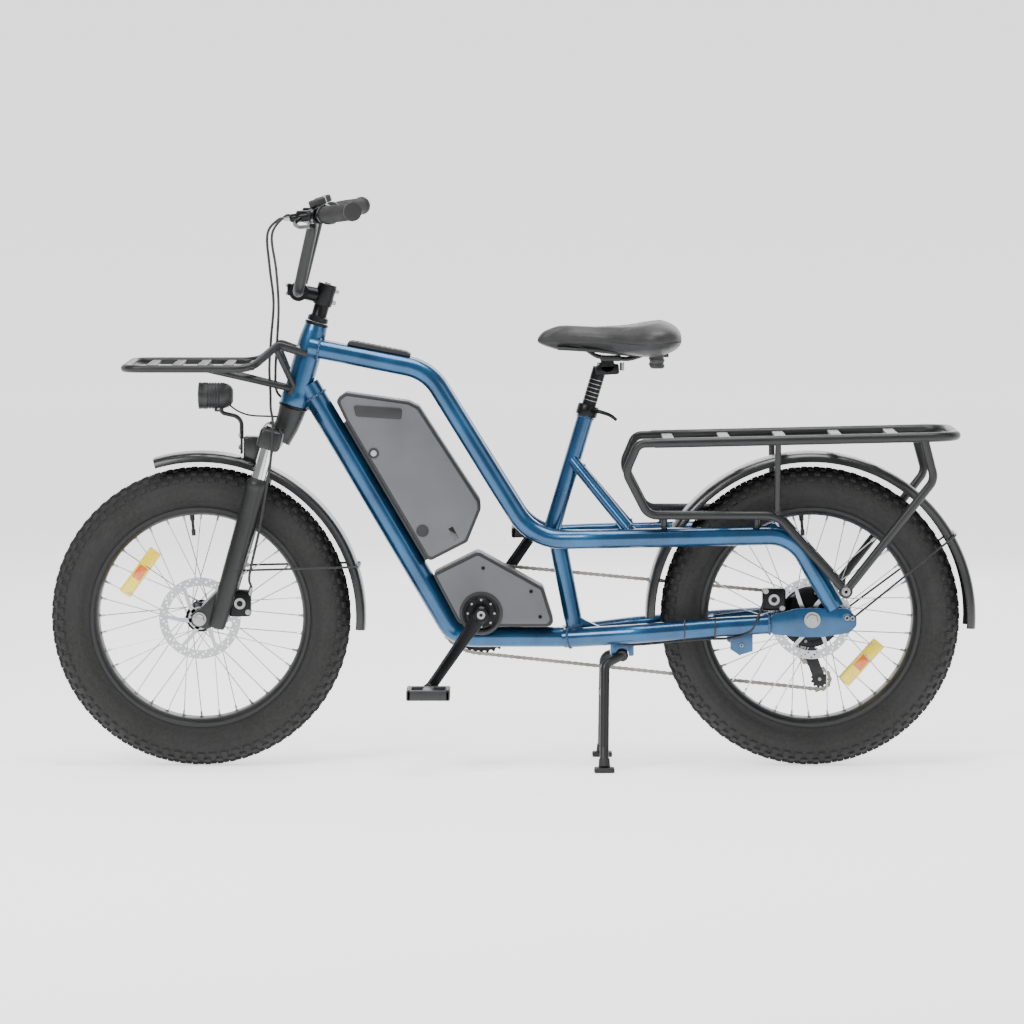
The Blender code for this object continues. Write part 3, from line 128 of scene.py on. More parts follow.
def makeStudio():
    view = bpy.data.cameras.new("camera")
    view.lens = studio["lens"]
    view.sensor_width = 36
    view.clip_end = 100
    camera = bpy.data.objects.new("camera", view)
    camera.location = studio["cameraAt"]
    camera.rotation_euler = (math.radians(90 - studio["pitch"]), 0, 0)
    bpy.context.scene.collection.objects.link(camera)
    bpy.context.scene.camera = camera

    # a paper floor that sweeps up into the backdrop
    bm = bmesh.new()
    profile = [(-40.0, 0.0), (studio["sweepAt"], 0.0)]
    for step in range(1, 13):
        angle = math.radians(90 * step / 12)
        profile.append((studio["sweepAt"] + studio["sweepRadius"] * math.sin(angle),
                        studio["sweepRadius"] * (1 - math.cos(angle))))
    profile.append((studio["sweepAt"] + studio["sweepRadius"], 30.0))
    rows = [[bm.verts.new((x, y, z)) for x in (-60.0, 60.0)] for y, z in profile]
    for low, high in zip(rows, rows[1:]):
        bm.faces.new((low[0], low[1], high[1], high[0])).smooth = True
    mesh = bpy.data.meshes.new("floor")
    bm.to_mesh(mesh)
    bm.free()
    floor = bpy.data.objects.new("floor", mesh)
    bpy.context.scene.collection.objects.link(floor)
    paper = bpy.data.materials.new("mattStudioPaper")
    paper.use_nodes = True
    shader = paper.node_tree.nodes["Principled BSDF"]
    shader.inputs["Base Color"].default_value = toLinear(studio["floor"])
    shader.inputs["Roughness"].default_value = 0.9
    shader.inputs["Emission Color"].default_value = toLinear(studio["floor"])
    shader.inputs["Emission Strength"].default_value = studio["paperGlow"]
    mesh.materials.append(paper)

    world = bpy.data.worlds.new("paleStudio")
    world.use_nodes = True
    sky = world.node_tree.nodes["Background"]
    sky.inputs["Color"].default_value = toLinear(studio["world"])
    sky.inputs["Strength"].default_value = studio["worldStrength"]
    bpy.context.scene.world = world
    lamps = [
        ("keyLight", (-2.6, -3.4, 3.6), 2.0, 190),
        ("fillLight", (3.4, -3.0, 2.2), 3.0, 45),
        ("topLight", (0.2, -0.4, 4.2), 2.4, 170),
        ("rimLight", (0.8, 4.2, 2.4), 3.0, 60),
    ]
    for name, place, size, watts in lamps:
        light = bpy.data.lights.new(name, "AREA")
        light.size = size
        light.energy = watts
        lamp = bpy.data.objects.new(name, light)
        lamp.location = place
        aim = Vector((0, 0, 0.5)) - Vector(place)
        lamp.rotation_euler = aim.to_track_quat("-Z", "Y").to_euler()
        bpy.context.scene.collection.objects.link(lamp)


makeStudio()
print("studio ready")


# Finishes: each starts from two close tones, a pattern size and a bump depth, all in millimetres

finishes = {
    # metallic lacquer over aluminium tube: flakes sparkle and a clear coat mirrors softly
    "metallicBlueLacquer": {"slot": "blue_paint", "dark": "#0E3354", "light": "#1E5A86", "cell": 0.9,
                            "bump": 0.02, "rough": (0.26, 0.36), "metallic": 0.78,
                            "direct": {"Coat Weight": 0.7, "Coat Roughness": 0.08}},
    # the same lacquer run thin and ripply over a weld
    "lacqueredWeld": {"slot": "blue_paint", "dark": "#123550", "light": "#215577", "cell": 1.6,
                      "bump": 0.12, "rough": (0.26, 0.4), "metallic": 0.6,
                      "direct": {"Coat Weight": 0.6, "Coat Roughness": 0.12}},
    # satin powder coat over steel or aluminium: a faint orange peel, no sparkle
    "satinBlackPowderCoat": {"slot": "black_metal", "dark": "#121314", "light": "#1C1D1E", "cell": 1.4,
                             "bump": 0.05, "rough": (0.36, 0.48), "metallic": 0.15,
                             "direct": {"Specular IOR Level": 0.5}},
    # black anodised aluminium: thin, dark and faintly metallic, with turning marks too fine to feel
    "blackAnodisedAluminium": {"slot": "black_metal", "dark": "#0E0F10", "light": "#1A1B1D", "cell": 0.8,
                               "stretch": (1, 0.1, 1), "bump": 0.01, "rough": (0.24, 0.36), "metallic": 0.7},
    # injection-moulded ABS or nylon with a spark-eroded grain
    "grainedBlackNylon": {"slot": "black_plastic", "dark": "#161718", "light": "#222325", "cell": 0.7,
                          "bump": 0.06, "rough": (0.42, 0.56), "metallic": 0.0, "direct": {"IOR": 1.5}},
    # glossier polycarbonate fender shell
    "blackPolycarbonate": {"slot": "black_plastic", "dark": "#101112", "light": "#191A1B", "cell": 5.0,
                           "bump": 0.03, "rough": (0.22, 0.34), "metallic": 0.0, "direct": {"IOR": 1.58}},
    # matt grey painted ABS of the battery and motor shells
    "mattGreyShell": {"slot": "grey_case", "dark": "#4E4F52", "light": "#5C5D60", "cell": 0.8,
                      "bump": 0.05, "rough": (0.44, 0.56), "metallic": 0.1, "direct": {"IOR": 1.5}},
    # carbon-black tyre rubber, dull, with a bloom of grey
    "tyreRubber": {"dark": "#131313", "light": "#232322", "cell": 6.0,
                   "bump": 0.1, "rough": (0.7, 0.9), "metallic": 0.0, "direct": {"IOR": 1.5}},
    # softer thermoplastic rubber on grips and hoses
    "gripRubber": {"slot": "black_plastic", "dark": "#111112", "light": "#1B1B1C", "cell": 1.2,
                   "bump": 0.05, "rough": (0.55, 0.7), "metallic": 0.0, "direct": {"IOR": 1.5}},
    # brushed stainless steel of discs, chain and spokes
    "brushedStainless": {"slot": "steel", "dark": "#9C9EA1", "light": "#C6C8CA", "cell": 0.7,
                         "stretch": (1, 0.08, 1), "bump": 0.02, "rough": (0.2, 0.36), "metallic": 1.0},
    # zinc-plated bolts, slightly yellow-grey
    "zincPlatedSteel": {"slot": "steel", "dark": "#8D8F90", "light": "#B4B5B3", "cell": 1.0,
                        "bump": 0.02, "rough": (0.3, 0.44), "metallic": 1.0},
    # hard chrome on the fork's sliding tubes
    "hardChrome": {"slot": "steel", "dark": "#C9CBCD", "light": "#DCDDDE", "cell": 3.0,
                   "stretch": (1, 1, 0.2), "bump": 0.004, "rough": (0.05, 0.1), "metallic": 1.0},
    # chain steel, browner between the plates from oil
    "oiledChainSteel": {"slot": "steel", "dark": "#5E5A55", "light": "#A4A19C", "cell": 2.2,
                        "bump": 0.03, "rough": (0.28, 0.45), "metallic": 1.0},
    # yellow and orange reflector acrylic: clear skin over prisms
    "amberReflector": {"slot": "black_plastic", "dark": "#E6C800", "light": "#FFE81A", "cell": 2.4,
                       "bump": 0.25, "rough": (0.1, 0.22), "metallic": 0.0,
                       "direct": {"Coat Weight": 1.0, "Coat Roughness": 0.03}, "grain": "cells"},
    "orangeReflector": {"slot": "black_plastic", "dark": "#C4500E", "light": "#EE7B22", "cell": 2.4,
                        "bump": 0.25, "rough": (0.1, 0.22), "metallic": 0.0,
                        "direct": {"Coat Weight": 1.0, "Coat Roughness": 0.03}, "grain": "cells"},
    # lamp lens: pale ribbed acrylic
    "clearAcrylic": {"slot": "black_plastic", "dark": "#D5D9DC", "light": "#ECEFF1", "cell": 3.0,
                     "stretch": (1, 1, 0.1), "bump": 0.15, "rough": (0.05, 0.12), "metallic": 0.0,
                     "direct": {"Coat Weight": 1.0, "Transmission Weight": 0.35, "IOR": 1.49}},
    # display window: near-black glass over a dark screen
    "smokedGlass": {"slot": "black_plastic", "dark": "#07090B", "light": "#0C0F12", "cell": 30.0,
                    "bump": 0.0, "rough": (0.04, 0.07), "metallic": 0.0, "direct": {"Coat Weight": 1.0}},
    # saddle vinyl: pebbled leather grain, soft sheen on its crowns
    "pebbledVinyl": {"dark": "#101011", "light": "#1D1D1F", "cell": 1.6,
                     "bump": 0.22, "rough": (0.42, 0.58), "metallic": 0.0,
                     "direct": {"Sheen Weight": 0.15, "IOR": 1.5}, "grain": "cells"},
    # elastomer springs under the saddle
    "greyElastomer": {"slot": "saddle_cover", "dark": "#2A2B2C", "light": "#38393A", "cell": 1.5,
                      "bump": 0.04, "rough": (0.5, 0.65), "metallic": 0.0},
}


def makeFinish(name):
    look = finishes[name]
    material = bpy.data.materials.new(name)
    material.use_nodes = True
    tree = material.node_tree
    shader = tree.nodes["Principled BSDF"]
    place = addNode(tree, "ShaderNodeTexCoord")
    spread = addNode(tree, "ShaderNodeMapping", {"Vector": place.outputs["Object"],
                                                 "Scale": look.get("stretch", (1, 1, 1))})
    fine = 1000 / look["cell"]
    if look.get("grain") == "cells":
        pattern = addNode(tree, "ShaderNodeTexVoronoi", {"Vector": spread.outputs[0], "Scale": fine})
        height = pattern.outputs["Distance"]
    else:
        pattern = addNode(tree, "ShaderNodeTexNoise", {"Vector": spread.outputs[0], "Scale": fine,
                                                       "Detail": 3.0})
        height = pattern.outputs[0]
    broad = addNode(tree, "ShaderNodeTexNoise", {"Vector": place.outputs["Object"], "Scale": 14.0,
                                                 "Detail": 4.0})
    blend = addNode(tree, "ShaderNodeMath", {0: height, 1: broad.outputs[0]}, operation="MULTIPLY")
    ramp = addNode(tree, "ShaderNodeValToRGB", {"Fac": blend.outputs[0]})
    ramp.color_ramp.elements[0].position = 0.1
    ramp.color_ramp.elements[0].color = toLinear(look["dark"])
    ramp.color_ramp.elements[1].position = 0.42
    ramp.color_ramp.elements[1].color = toLinear(look["light"])
    tree.links.new(ramp.outputs[0], shader.inputs["Base Color"])
    low, high = look["rough"]
    gloss = addNode(tree, "ShaderNodeMapRange", {"Value": broad.outputs[0], "From Min": 0.3, "From Max": 0.7,
                                                 "To Min": low, "To Max": high})
    tree.links.new(gloss.outputs[0], shader.inputs["Roughness"])
    if look["bump"]:
        relief = addNode(tree, "ShaderNodeBump", {"Height": height, "Strength": 0.6,
                                                  "Distance": look["bump"] / 1000})
        tree.links.new(relief.outputs[0], shader.inputs["Normal"])
    shader.inputs["Metallic"].default_value = look["metallic"]
    for socket, value in look.get("direct", {}).items():
        shader.inputs[socket].default_value = value
    return material


finish = {name: makeFinish(name) for name in finishes}
print("finishes ready,", len(finish))


# Shape tools

def rounded(points, radii, steps=10):
    route = [points[0]]
    for before, corner, after, radius in zip(points, points[1:], points[2:], radii):
        into = (corner - before).normalized()
        out = (after - corner).normalized()
        bend = into.angle(out)
        if radius <= 0 or bend < 0.01:
            route.append(corner)
            continue
        most = 0.49 * min((corner - before).length, (after - corner).length)
        reach = min(radius * math.tan(bend / 2), most)
        radius = reach / math.tan(bend / 2)
        start = corner - reach * into
        inward = (out - into * into.dot(out)).normalized()
        centre = start + radius * inward
        for step in range(steps + 1):
            angle = bend * step / steps
            route.append(centre - radius * math.cos(angle) * inward + radius * math.sin(angle) * into)
    route.append(points[-1])
    return route


def smoothRoute(points, steps=8):
    ends = [2 * points[0] - points[1], *points, 2 * points[-1] - points[-2]]
    route = []
    for a, b, c, d in zip(ends, ends[1:], ends[2:], ends[3:]):
        for step in range(steps):
            t = step / steps
            pull = (c - a) * t + (2 * a - 5 * b + 4 * c - d) * t**2 + (3 * b - a - 3 * c + d) * t**3
            route.append(b + pull / 2)
    route.append(points[-1])
    return route


def sweep(bm, route, radius, count=24, closed=False):
    total = len(route)
    radii = radius if isinstance(radius, (list, tuple)) else [radius] * total
    heading = []
    for i in range(total):
        before = route[i - 1] if i or closed else route[i]
        after = route[(i + 1) % total] if i < total - 1 or closed else route[i]
        heading.append((after - before).normalized())
    beside = heading[0].orthogonal().normalized()
    rings = []
    for i, place in enumerate(route):
        if i:
            beside = heading[i - 1].rotation_difference(heading[i]) @ beside
        beside = (beside - heading[i] * beside.dot(heading[i])).normalized()
        over = heading[i].cross(beside)
        ring = []
        for k in range(count):
            angle = turn * k / count
            ring.append(bm.verts.new(place + radii[i] * (math.cos(angle) * beside + math.sin(angle) * over)))
        rings.append(ring)
    bridge(bm, rings, closed)


def turned(bm, stops, place, count=24):
    # a body of revolution from (distance, radius) stops, placed by a function of the distance
    sweep(bm, [place(distance) for distance, _ in stops], [radius for _, radius in stops], count)


def bridge(bm, rings, closed=False):
    pairs = list(zip(rings, rings[1:]))
    if closed:
        pairs.append((rings[-1], rings[0]))
    for one, two in pairs:
        for k in range(len(one)):
            after = (k + 1) % len(one)
            bm.faces.new((one[k], one[after], two[after], two[k]))
    if not closed:
        bm.faces.new(rings[0])
        bm.faces.new(rings[-1])


def spin(bm, profile, centre, steps=96, axis=across, low=0.0, high=turn):
    # a closed profile of (radius, along) turned about the axis, whole or from low to high
    whole = abs(high - low - turn) < 1e-6
    lift = across.rotation_difference(axis).to_matrix()
    rings = []
    for step in range(steps if whole else steps + 1):
        angle = low + (high - low) * step / steps
        ring = []
        for radius, along in profile:
            local = Vector((radius * math.cos(angle), along, radius * math.sin(angle)))
            ring.append(bm.verts.new(centre + lift @ local))
        rings.append(ring)
    bridge(bm, rings, whole)


def addMesh(bm, other):
    mesh = bpy.data.meshes.new("part")
    other.to_mesh(mesh)
    other.free()
    bm.from_mesh(mesh)
    bpy.data.meshes.remove(mesh)


def roundBlock(bm, centre, size, bevel=0.002, tilt=0.0, yaw=0.0, segments=3):
    part = bmesh.new()
    bmesh.ops.create_cube(part, size=1)
    bmesh.ops.scale(part, verts=part.verts, vec=size)
    if bevel:
        bmesh.ops.bevel(part, geom=list(part.edges), offset=bevel, segments=segments, profile=0.5,
                        affect="EDGES")
    lean = Matrix.Rotation(yaw, 4, "Z") @ Matrix.Rotation(tilt, 4, "Y")
    part.transform(Matrix.Translation(centre) @ lean)
    addMesh(bm, part)


def plate(bm, outline, low, high, bevel=0.001, segments=3):
    # an outline in the side view, extruded across, with rounded edges
    part = bmesh.new()
    face = part.faces.new([part.verts.new((p.x, low, p.z)) for p in outline])
    made = bmesh.ops.extrude_face_region(part, geom=[face])
    moved = [v for v in made["geom"] if isinstance(v, bmesh.types.BMVert)]
    bmesh.ops.translate(part, verts=moved, vec=(0, high - low, 0))
    if bevel:
        rims = [e for e in part.edges if abs(e.verts[0].co.y - e.verts[1].co.y) < 1e-6]
        bmesh.ops.bevel(part, geom=rims, offset=bevel, segments=segments, profile=0.5, affect="EDGES",
                        clamp_overlap=True)
    addMesh(bm, part)


def rod(bm, start, end, radius, count=20):
    # a straight bar with softened ends
    along = (end - start).normalized()
    soft = min(radius * 0.25, (end - start).length * 0.2)
    stops = [start, start + along * soft, end - along * soft, end]
    sweep(bm, stops, [radius - soft, radius, radius, radius - soft], count)


def hexBolt(bm, centre, axis, size, depth):
    # hexagon head on a washer, standing up from its seat
    axis = axis.normalized()
    sweep(bm, [centre, centre + axis * size * 0.16], size * 0.72, 20)
    low, high = centre + axis * size * 0.16, centre + axis * (size * 0.16 + depth)
    sweep(bm, [low, high - axis * depth * 0.15, high], [size * 0.55, size * 0.55, size * 0.46], 6)


def socketBolt(bm, centre, axis, size, depth):
    # cap screw: a rim round a sunk hexagon socket
    axis = axis.normalized()
    top = centre + axis * depth
    ring = [centre, top - axis * size * 0.08, top, top, top - axis * depth * 0.6]
    sweep(bm, ring, [size / 2, size / 2, size * 0.44, size * 0.27, size * 0.27], 18)


def makePiece(name, bm, material, sharp=35.0):
    bmesh.ops.remove_doubles(bm, verts=bm.verts, dist=1e-6)
    bmesh.ops.recalc_face_normals(bm, faces=bm.faces)
    mesh = bpy.data.meshes.new(name)
    bm.to_mesh(mesh)
    bm.free()
    piece = bpy.data.objects.new(name, mesh)
    bpy.context.scene.collection.objects.link(piece)
    mesh.materials.append(finish[material])
    mesh.shade_smooth()
    mesh.set_sharp_from_angle(angle=math.radians(sharp))
    return piece


def settle(piece, body, slotName, *nodes):
    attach(piece, body)
    if nodes:
        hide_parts(*nodes)
    return piece


def addPiece(name, bm, material, body, *nodes, slot=None, sharp=35.0):
    return settle(makePiece(name, bm, material, sharp), body, slot or finishes[material]["slot"], *nodes)


def cutWith(piece, cutter):
    hole = piece.modifiers.new("cut", "BOOLEAN")
    hole.operation = "DIFFERENCE"
    hole.solver = "EXACT"
    hole.object = cutter
    bakeMesh(piece)
    bpy.data.objects.remove(cutter, do_unlink=True)
    return piece


def bakeMesh(piece):
    bpy.context.view_layer.update()
    graph = bpy.context.evaluated_depsgraph_get()
    mesh = bpy.data.meshes.new_from_object(piece.evaluated_get(graph))
    piece.modifiers.clear()
    piece.data = mesh
    return piece


# Geometry Nodes: copies in a ring about the across axis, copies along a path, and a ring of drillings

def newTree(name, sockets):
    tree = bpy.data.node_groups.new(name, "GeometryNodeTree")
    for label, kind, value in sockets:
        socket = tree.interface.new_socket(label, in_out="INPUT", socket_type=kind)
        if value is not None:
            socket.default_value = value
    tree.interface.new_socket("Geometry", in_out="OUTPUT", socket_type="NodeSocketGeometry")
    return tree


def ringOfCopies(tree, group):
    place = addNode(tree, "GeometryNodeInputIndex")
    step = addNode(tree, "ShaderNodeMath", {0: turn, 1: group.outputs["Count"]}, operation="DIVIDE")
    angle = addNode(tree, "ShaderNodeMath", {0: place.outputs[0], 1: step.outputs[0],
                                             2: group.outputs["First Angle"]}, operation="MULTIPLY_ADD")
    euler = addNode(tree, "ShaderNodeCombineXYZ", {"Y": angle.outputs[0]})
    rotation = addNode(tree, "FunctionNodeEulerToRotation", {"Euler": euler.outputs[0]})
    points = addNode(tree, "GeometryNodePoints", {"Count": group.outputs["Count"]})
    copied = addNode(tree, "GeometryNodeObjectInfo", {"Object": group.outputs["Piece"]})
    copies = addNode(tree, "GeometryNodeInstanceOnPoints", {"Points": points.outputs[0],
                                                           "Instance": copied.outputs["Geometry"],
                                                           "Rotation": rotation.outputs[0]})
    placed = addNode(tree, "GeometryNodeTranslateInstances", {"Instances": copies.outputs[0],
                                                             "Translation": group.outputs["Axle"],
                                                             "Local Space": False})
    return addNode(tree, "GeometryNodeRealizeInstances", {"Geometry": placed.outputs[0]})


def coatedTree(tree, group, shaped):
    coated = addNode(tree, "GeometryNodeSetMaterial", {"Geometry": shaped.outputs[0],
                                                      "Material": group.outputs["Finish"]})
    addNode(tree, "NodeGroupOutput", {"Geometry": coated.outputs[0]})
    return tree


ringSockets = [
    ("Piece", "NodeSocketObject", None),
    ("Count", "NodeSocketInt", 12),
    ("First Angle", "NodeSocketFloat", 0.0),
    ("Axle", "NodeSocketVector", None),
    ("Finish", "NodeSocketMaterial", None),
]


def makeRingTree():
    tree = newTree("ringOfPieces", ringSockets)
    group = addNode(tree, "NodeGroupInput")
    real = ringOfCopies(tree, group)
    return coatedTree(tree, group, real)


def makeDrillTree():
    tree = newTree("ringOfDrillings", [("Geometry", "NodeSocketGeometry", None)] + ringSockets)
    group = addNode(tree, "NodeGroupInput")
    real = ringOfCopies(tree, group)
    drilled = addNode(tree, "GeometryNodeMeshBoolean", {"Mesh 1": group.outputs["Geometry"],
                                                       "Mesh 2": real.outputs[0]}, operation="DIFFERENCE")
    return coatedTree(tree, group, drilled)


def makePathTree():
    tree = newTree("piecesAlongPath", [
        ("Piece", "NodeSocketObject", None),
        ("Path", "NodeSocketObject", None),
        ("Count", "NodeSocketInt", 12),
        ("Finish", "NodeSocketMaterial", None),
    ])
    group = addNode(tree, "NodeGroupInput")
    line = addNode(tree, "GeometryNodeObjectInfo", {"Object": group.outputs["Path"]})
    spaced = addNode(tree, "GeometryNodeResampleCurve", {"Curve": line.outputs["Geometry"],
                                                        "Count": group.outputs["Count"]})
    heading = addNode(tree, "GeometryNodeInputTangent")
    rotation = addNode(tree, "FunctionNodeAlignRotationToVector", {"Vector": heading.outputs[0]},
                       axis="X", pivot_axis="Y")
    copied = addNode(tree, "GeometryNodeObjectInfo", {"Object": group.outputs["Piece"]})
    copies = addNode(tree, "GeometryNodeInstanceOnPoints", {"Points": spaced.outputs[0],
                                                           "Instance": copied.outputs["Geometry"],
                                                           "Rotation": rotation.outputs[0]})
    real = addNode(tree, "GeometryNodeRealizeInstances", {"Geometry": copies.outputs[0]})
    return coatedTree(tree, group, real)


trees = {"ring": makeRingTree(), "drill": makeDrillTree(), "path": makePathTree()}


def runTree(name, kind, values, helpers=(), base=None, sharp=35.0):
    # the tree's result as one plain mesh, with the helper pieces thrown away
    piece = base or bpy.data.objects.new(name, bpy.data.meshes.new(name))
    if base is None:
        bpy.context.scene.collection.objects.link(piece)
    modifier = piece.modifiers.new(kind, "NODES")
    modifier.node_group = trees[kind]
    for item in trees[kind].interface.items_tree:
        if item.in_out == "INPUT" and item.name in values:
            modifier[item.identifier] = values[item.name]
    bakeMesh(piece)
    piece.name = name
    piece.data.name = name
    if not piece.data.materials:
        piece.data.materials.append(values["Finish"])
    piece.data.shade_smooth()
    piece.data.set_sharp_from_angle(angle=math.radians(sharp))
    for helper in helpers:
        bpy.data.objects.remove(helper, do_unlink=True)
    return piece


def ringPiece(name, pattern, count, axle, material, first=0.0, sharp=35.0):
    values = {"Piece": pattern, "Count": count, "First Angle": first, "Axle": tuple(axle),
              "Finish": finish[material]}
    return runTree(name, "ring", values, [pattern], sharp=sharp)


def join(name, *pieces):
    # several baked meshes as one piece, each keeping its finish
    bm = bmesh.new()
    coats = []
    for piece in pieces:
        first = len(bm.faces)
        bm.from_mesh(piece.data)
        bm.faces.ensure_lookup_table()
        shifts = []
        for coat in piece.data.materials:
            if coat not in coats:
                coats.append(coat)
            shifts.append(coats.index(coat))
        for face in bm.faces[first:]:
            face.material_index = shifts[min(face.material_index, len(shifts) - 1)]
    mesh = bpy.data.meshes.new(name)
    bm.to_mesh(mesh)
    bm.free()
    for coat in coats:
        mesh.materials.append(coat)
    for piece in pieces:
        bpy.data.objects.remove(piece, do_unlink=True)
    whole = bpy.data.objects.new(name, mesh)
    bpy.context.scene.collection.objects.link(whole)
    return whole


# Frame tubes

frameTubes = {
    "mainRadius": 0.019, "downRadius": 0.023, "bottomRadius": 0.02,
    "seatRadius": 0.0165, "lowerSeatRadius": 0.0175, "strutRadius": 0.0115, "stayRadius": 0.019,
    "dropoutInner": 0.0865, "dropoutWall": 0.007, "seatTop": 0.396,
}
staySpread = 0.087


def mainRoute(side):
    points = [front(0.214, 0.531, 0.021), front(0.448, 0.485, 0.03), middle(0.101, 0.155, 0.06),
              middle(0.223, 0.158, staySpread), rear(-0.187, 0.163, staySpread),
              rear(-0.038, 0.1665, staySpread), rear(0.045, 0.023, staySpread)]
    return rounded(points if side > 0 else mirrored(points), [0.095, 0.15, 0.2, 0, 0.08])


def downRoute():
    return rounded([front(0.2113, 0.456), middle(-0.048, -0.042), middle(0.178, -0.042)], [0.062])


def seatLine(height):
    return middle(0.1375, 0.165) + Vector((math.tan(math.radians(16.5)) * (height - 0.165), 0,
                                           height - 0.165))


def stayRoute(side):
    points = [middle(0.165, -0.041, 0.0396), middle(0.303, -0.028, staySpread),
              rear(-0.169, -0.014, staySpread), rear(-0.084, -0.009, staySpread)]
    return rounded(points if side > 0 else mirrored(points), [0.12, 0.3])


def weldRing(bm, centre, axis, radius, bead=0.0024, ripples=26):
    # stacked-coin ripples round a joint
    axis = axis.normalized()
    beside = axis.orthogonal().normalized()
    over = axis.cross(beside)
    steps = ripples * 4
    ring, radii = [], []
    for step in range(steps):
        angle = turn * step / steps
        ring.append(centre + radius * (math.cos(angle) * beside + math.sin(angle) * over))
        radii.append(bead * (1 + 0.22 * math.sin(turn * step / 4)))
    sweep(bm, ring, radii, 8, closed=True)


def makeHeadTube():
    shape = bmesh.new()
    stops = [(-0.088, 0.0275), (-0.087, 0.028), (-0.067, 0.028), (-0.063, 0.0277), (-0.058, 0.0265),
             (-0.054, 0.0262), (0.045, 0.0262), (0.058, 0.0252), (0.068, 0.024), (0.086, 0.0217),
             (0.087, 0.0212)]
    turned(shape, stops, steer, 48)
    addPiece("headTube", shape, "metallicBlueLacquer", "frame", "head_tube")
    races = bmesh.new()
    for low, high, radius in ((-0.0882, -0.0825, 0.0292), (0.0815, 0.0872, 0.0236)):
        sweep(races, [steer(low), steer(low + 0.001), steer(high - 0.001), steer(high)],
              [radius - 0.0008, radius, radius, radius - 0.0008], 40)
    addPiece("headsetRaces", races, "blackAnodisedAluminium", "frame")


def makeMainTubes():
    for word, side in sides.items():
        route = mainRoute(side)
        shape = bmesh.new()
        sweep(shape, route, frameTubes["mainRadius"], 32)
        addPiece(f"{word}MainTube", shape, "metallicBlueLacquer", "frame", f"{word}_main_tube")
        strut = bmesh.new()
        top = seatLine(0.308) + across * side * 0.01
        low = rear(-0.346, 0.161, side * staySpread)
        sweep(strut, [top, low], frameTubes["strutRadius"], 24)
        addPiece(f"{word}SeatStrut", strut, "metallicBlueLacquer", "frame", f"{word}_seat_strut")
        stay = bmesh.new()
        sweep(stay, stayRoute(side), frameTubes["stayRadius"], 32)
        foot = rear(-0.142, -0.07)
        bracket = [foot, foot + Vector((-0.018, 0, 0.012)), foot + Vector((-0.018, 0, 0.052)),
                   foot + Vector((0.026, 0, 0.052)), foot + Vector((0.026, 0, 0.008))]
        plate(stay, bracket, side * staySpread - 0.003, side * staySpread + 0.003, 0.001)
        sweep(stay, [rear(-0.138, -0.05, side * staySpread - 0.0045),
                     rear(-0.138, -0.05, side * staySpread + 0.0045)], 0.0055, 20)
        addPiece(f"{word}LowerStay", stay, "metallicBlueLacquer", "frame", f"{word}_lower_stay")


def makeMiddleTubes():
    shape = bmesh.new()
    route = downRoute()
    radii = [frameTubes["downRadius"]] * 6 + [frameTubes["bottomRadius"]] * (len(route) - 6)
    for blend, at in ((0.0224, 5), (0.0214, 6), (0.0206, 7)):
        radii[at] = blend
    sweep(shape, route, radii, 40)
    addPiece("downTube", shape, "metallicBlueLacquer", "frame", "down_tube")

    seat = bmesh.new()
    sweep(seat, [seatLine(0.15), seatLine(frameTubes["seatTop"])], frameTubes["seatRadius"], 32)
    sweep(seat, [middle(0.15, 0.15), middle(0.187, -0.036)], frameTubes["lowerSeatRadius"], 32)
    sweep(seat, [middle(0.144, 0.157, -0.058), middle(0.144, 0.157, 0.058)], 0.014, 24)
    gusset = [middle(0.18, -0.026), middle(0.176, 0.01), middle(0.205, -0.008), middle(0.235, -0.022)]
    plate(seat, gusset, -0.012, 0.012, 0.002)
    addPiece("seatTube", seat, "metallicBlueLacquer", "frame", "seat_tube")

    welds = bmesh.new()
    for side in sides.values():
        main = mainRoute(side)
        start = (main[1] - main[0]).normalized()
        weldRing(welds, main[0] + start * 0.02, start, 0.0192)
        strut = (rear(-0.346, 0.161, side * staySpread) - seatLine(0.308)).normalized()
        weldRing(welds, seatLine(0.308) + strut * 0.026 + across * side * 0.006, strut, 0.0115, 0.0018, 18)
        weldRing(welds, rear(-0.346, 0.161, side * staySpread) - strut * 0.023, strut, 0.0115, 0.0018, 18)
        weldRing(welds, rear(-0.084, -0.009, side * staySpread), Vector((1, 0, 0.05)), 0.0186)
        stay = stayRoute(side)
        weldRing(welds, stay[0] + (stay[1] - stay[0]).normalized() * 0.01, stay[1] - stay[0], 0.0192)
        weldRing(welds, middle(0.144, 0.157, side * 0.05), across, 0.0143, 0.0018, 18)
    down = downRoute()
    along = (down[1] - down[0]).normalized()
    weldRing(welds, down[0] + along * 0.026, along, 0.0232)
    lower = (middle(0.187, -0.036) - middle(0.15, 0.15)).normalized()
    weldRing(welds, middle(0.187, -0.036) - lower * 0.016, lower, 0.0177)
    weldRing(welds, seatLine(0.392), seatLine(1.0) - seatLine(0.0), 0.0167, 0.0014, 30)
    addPiece("frameWelds", welds, "lacqueredWeld", "frame", sharp=60)


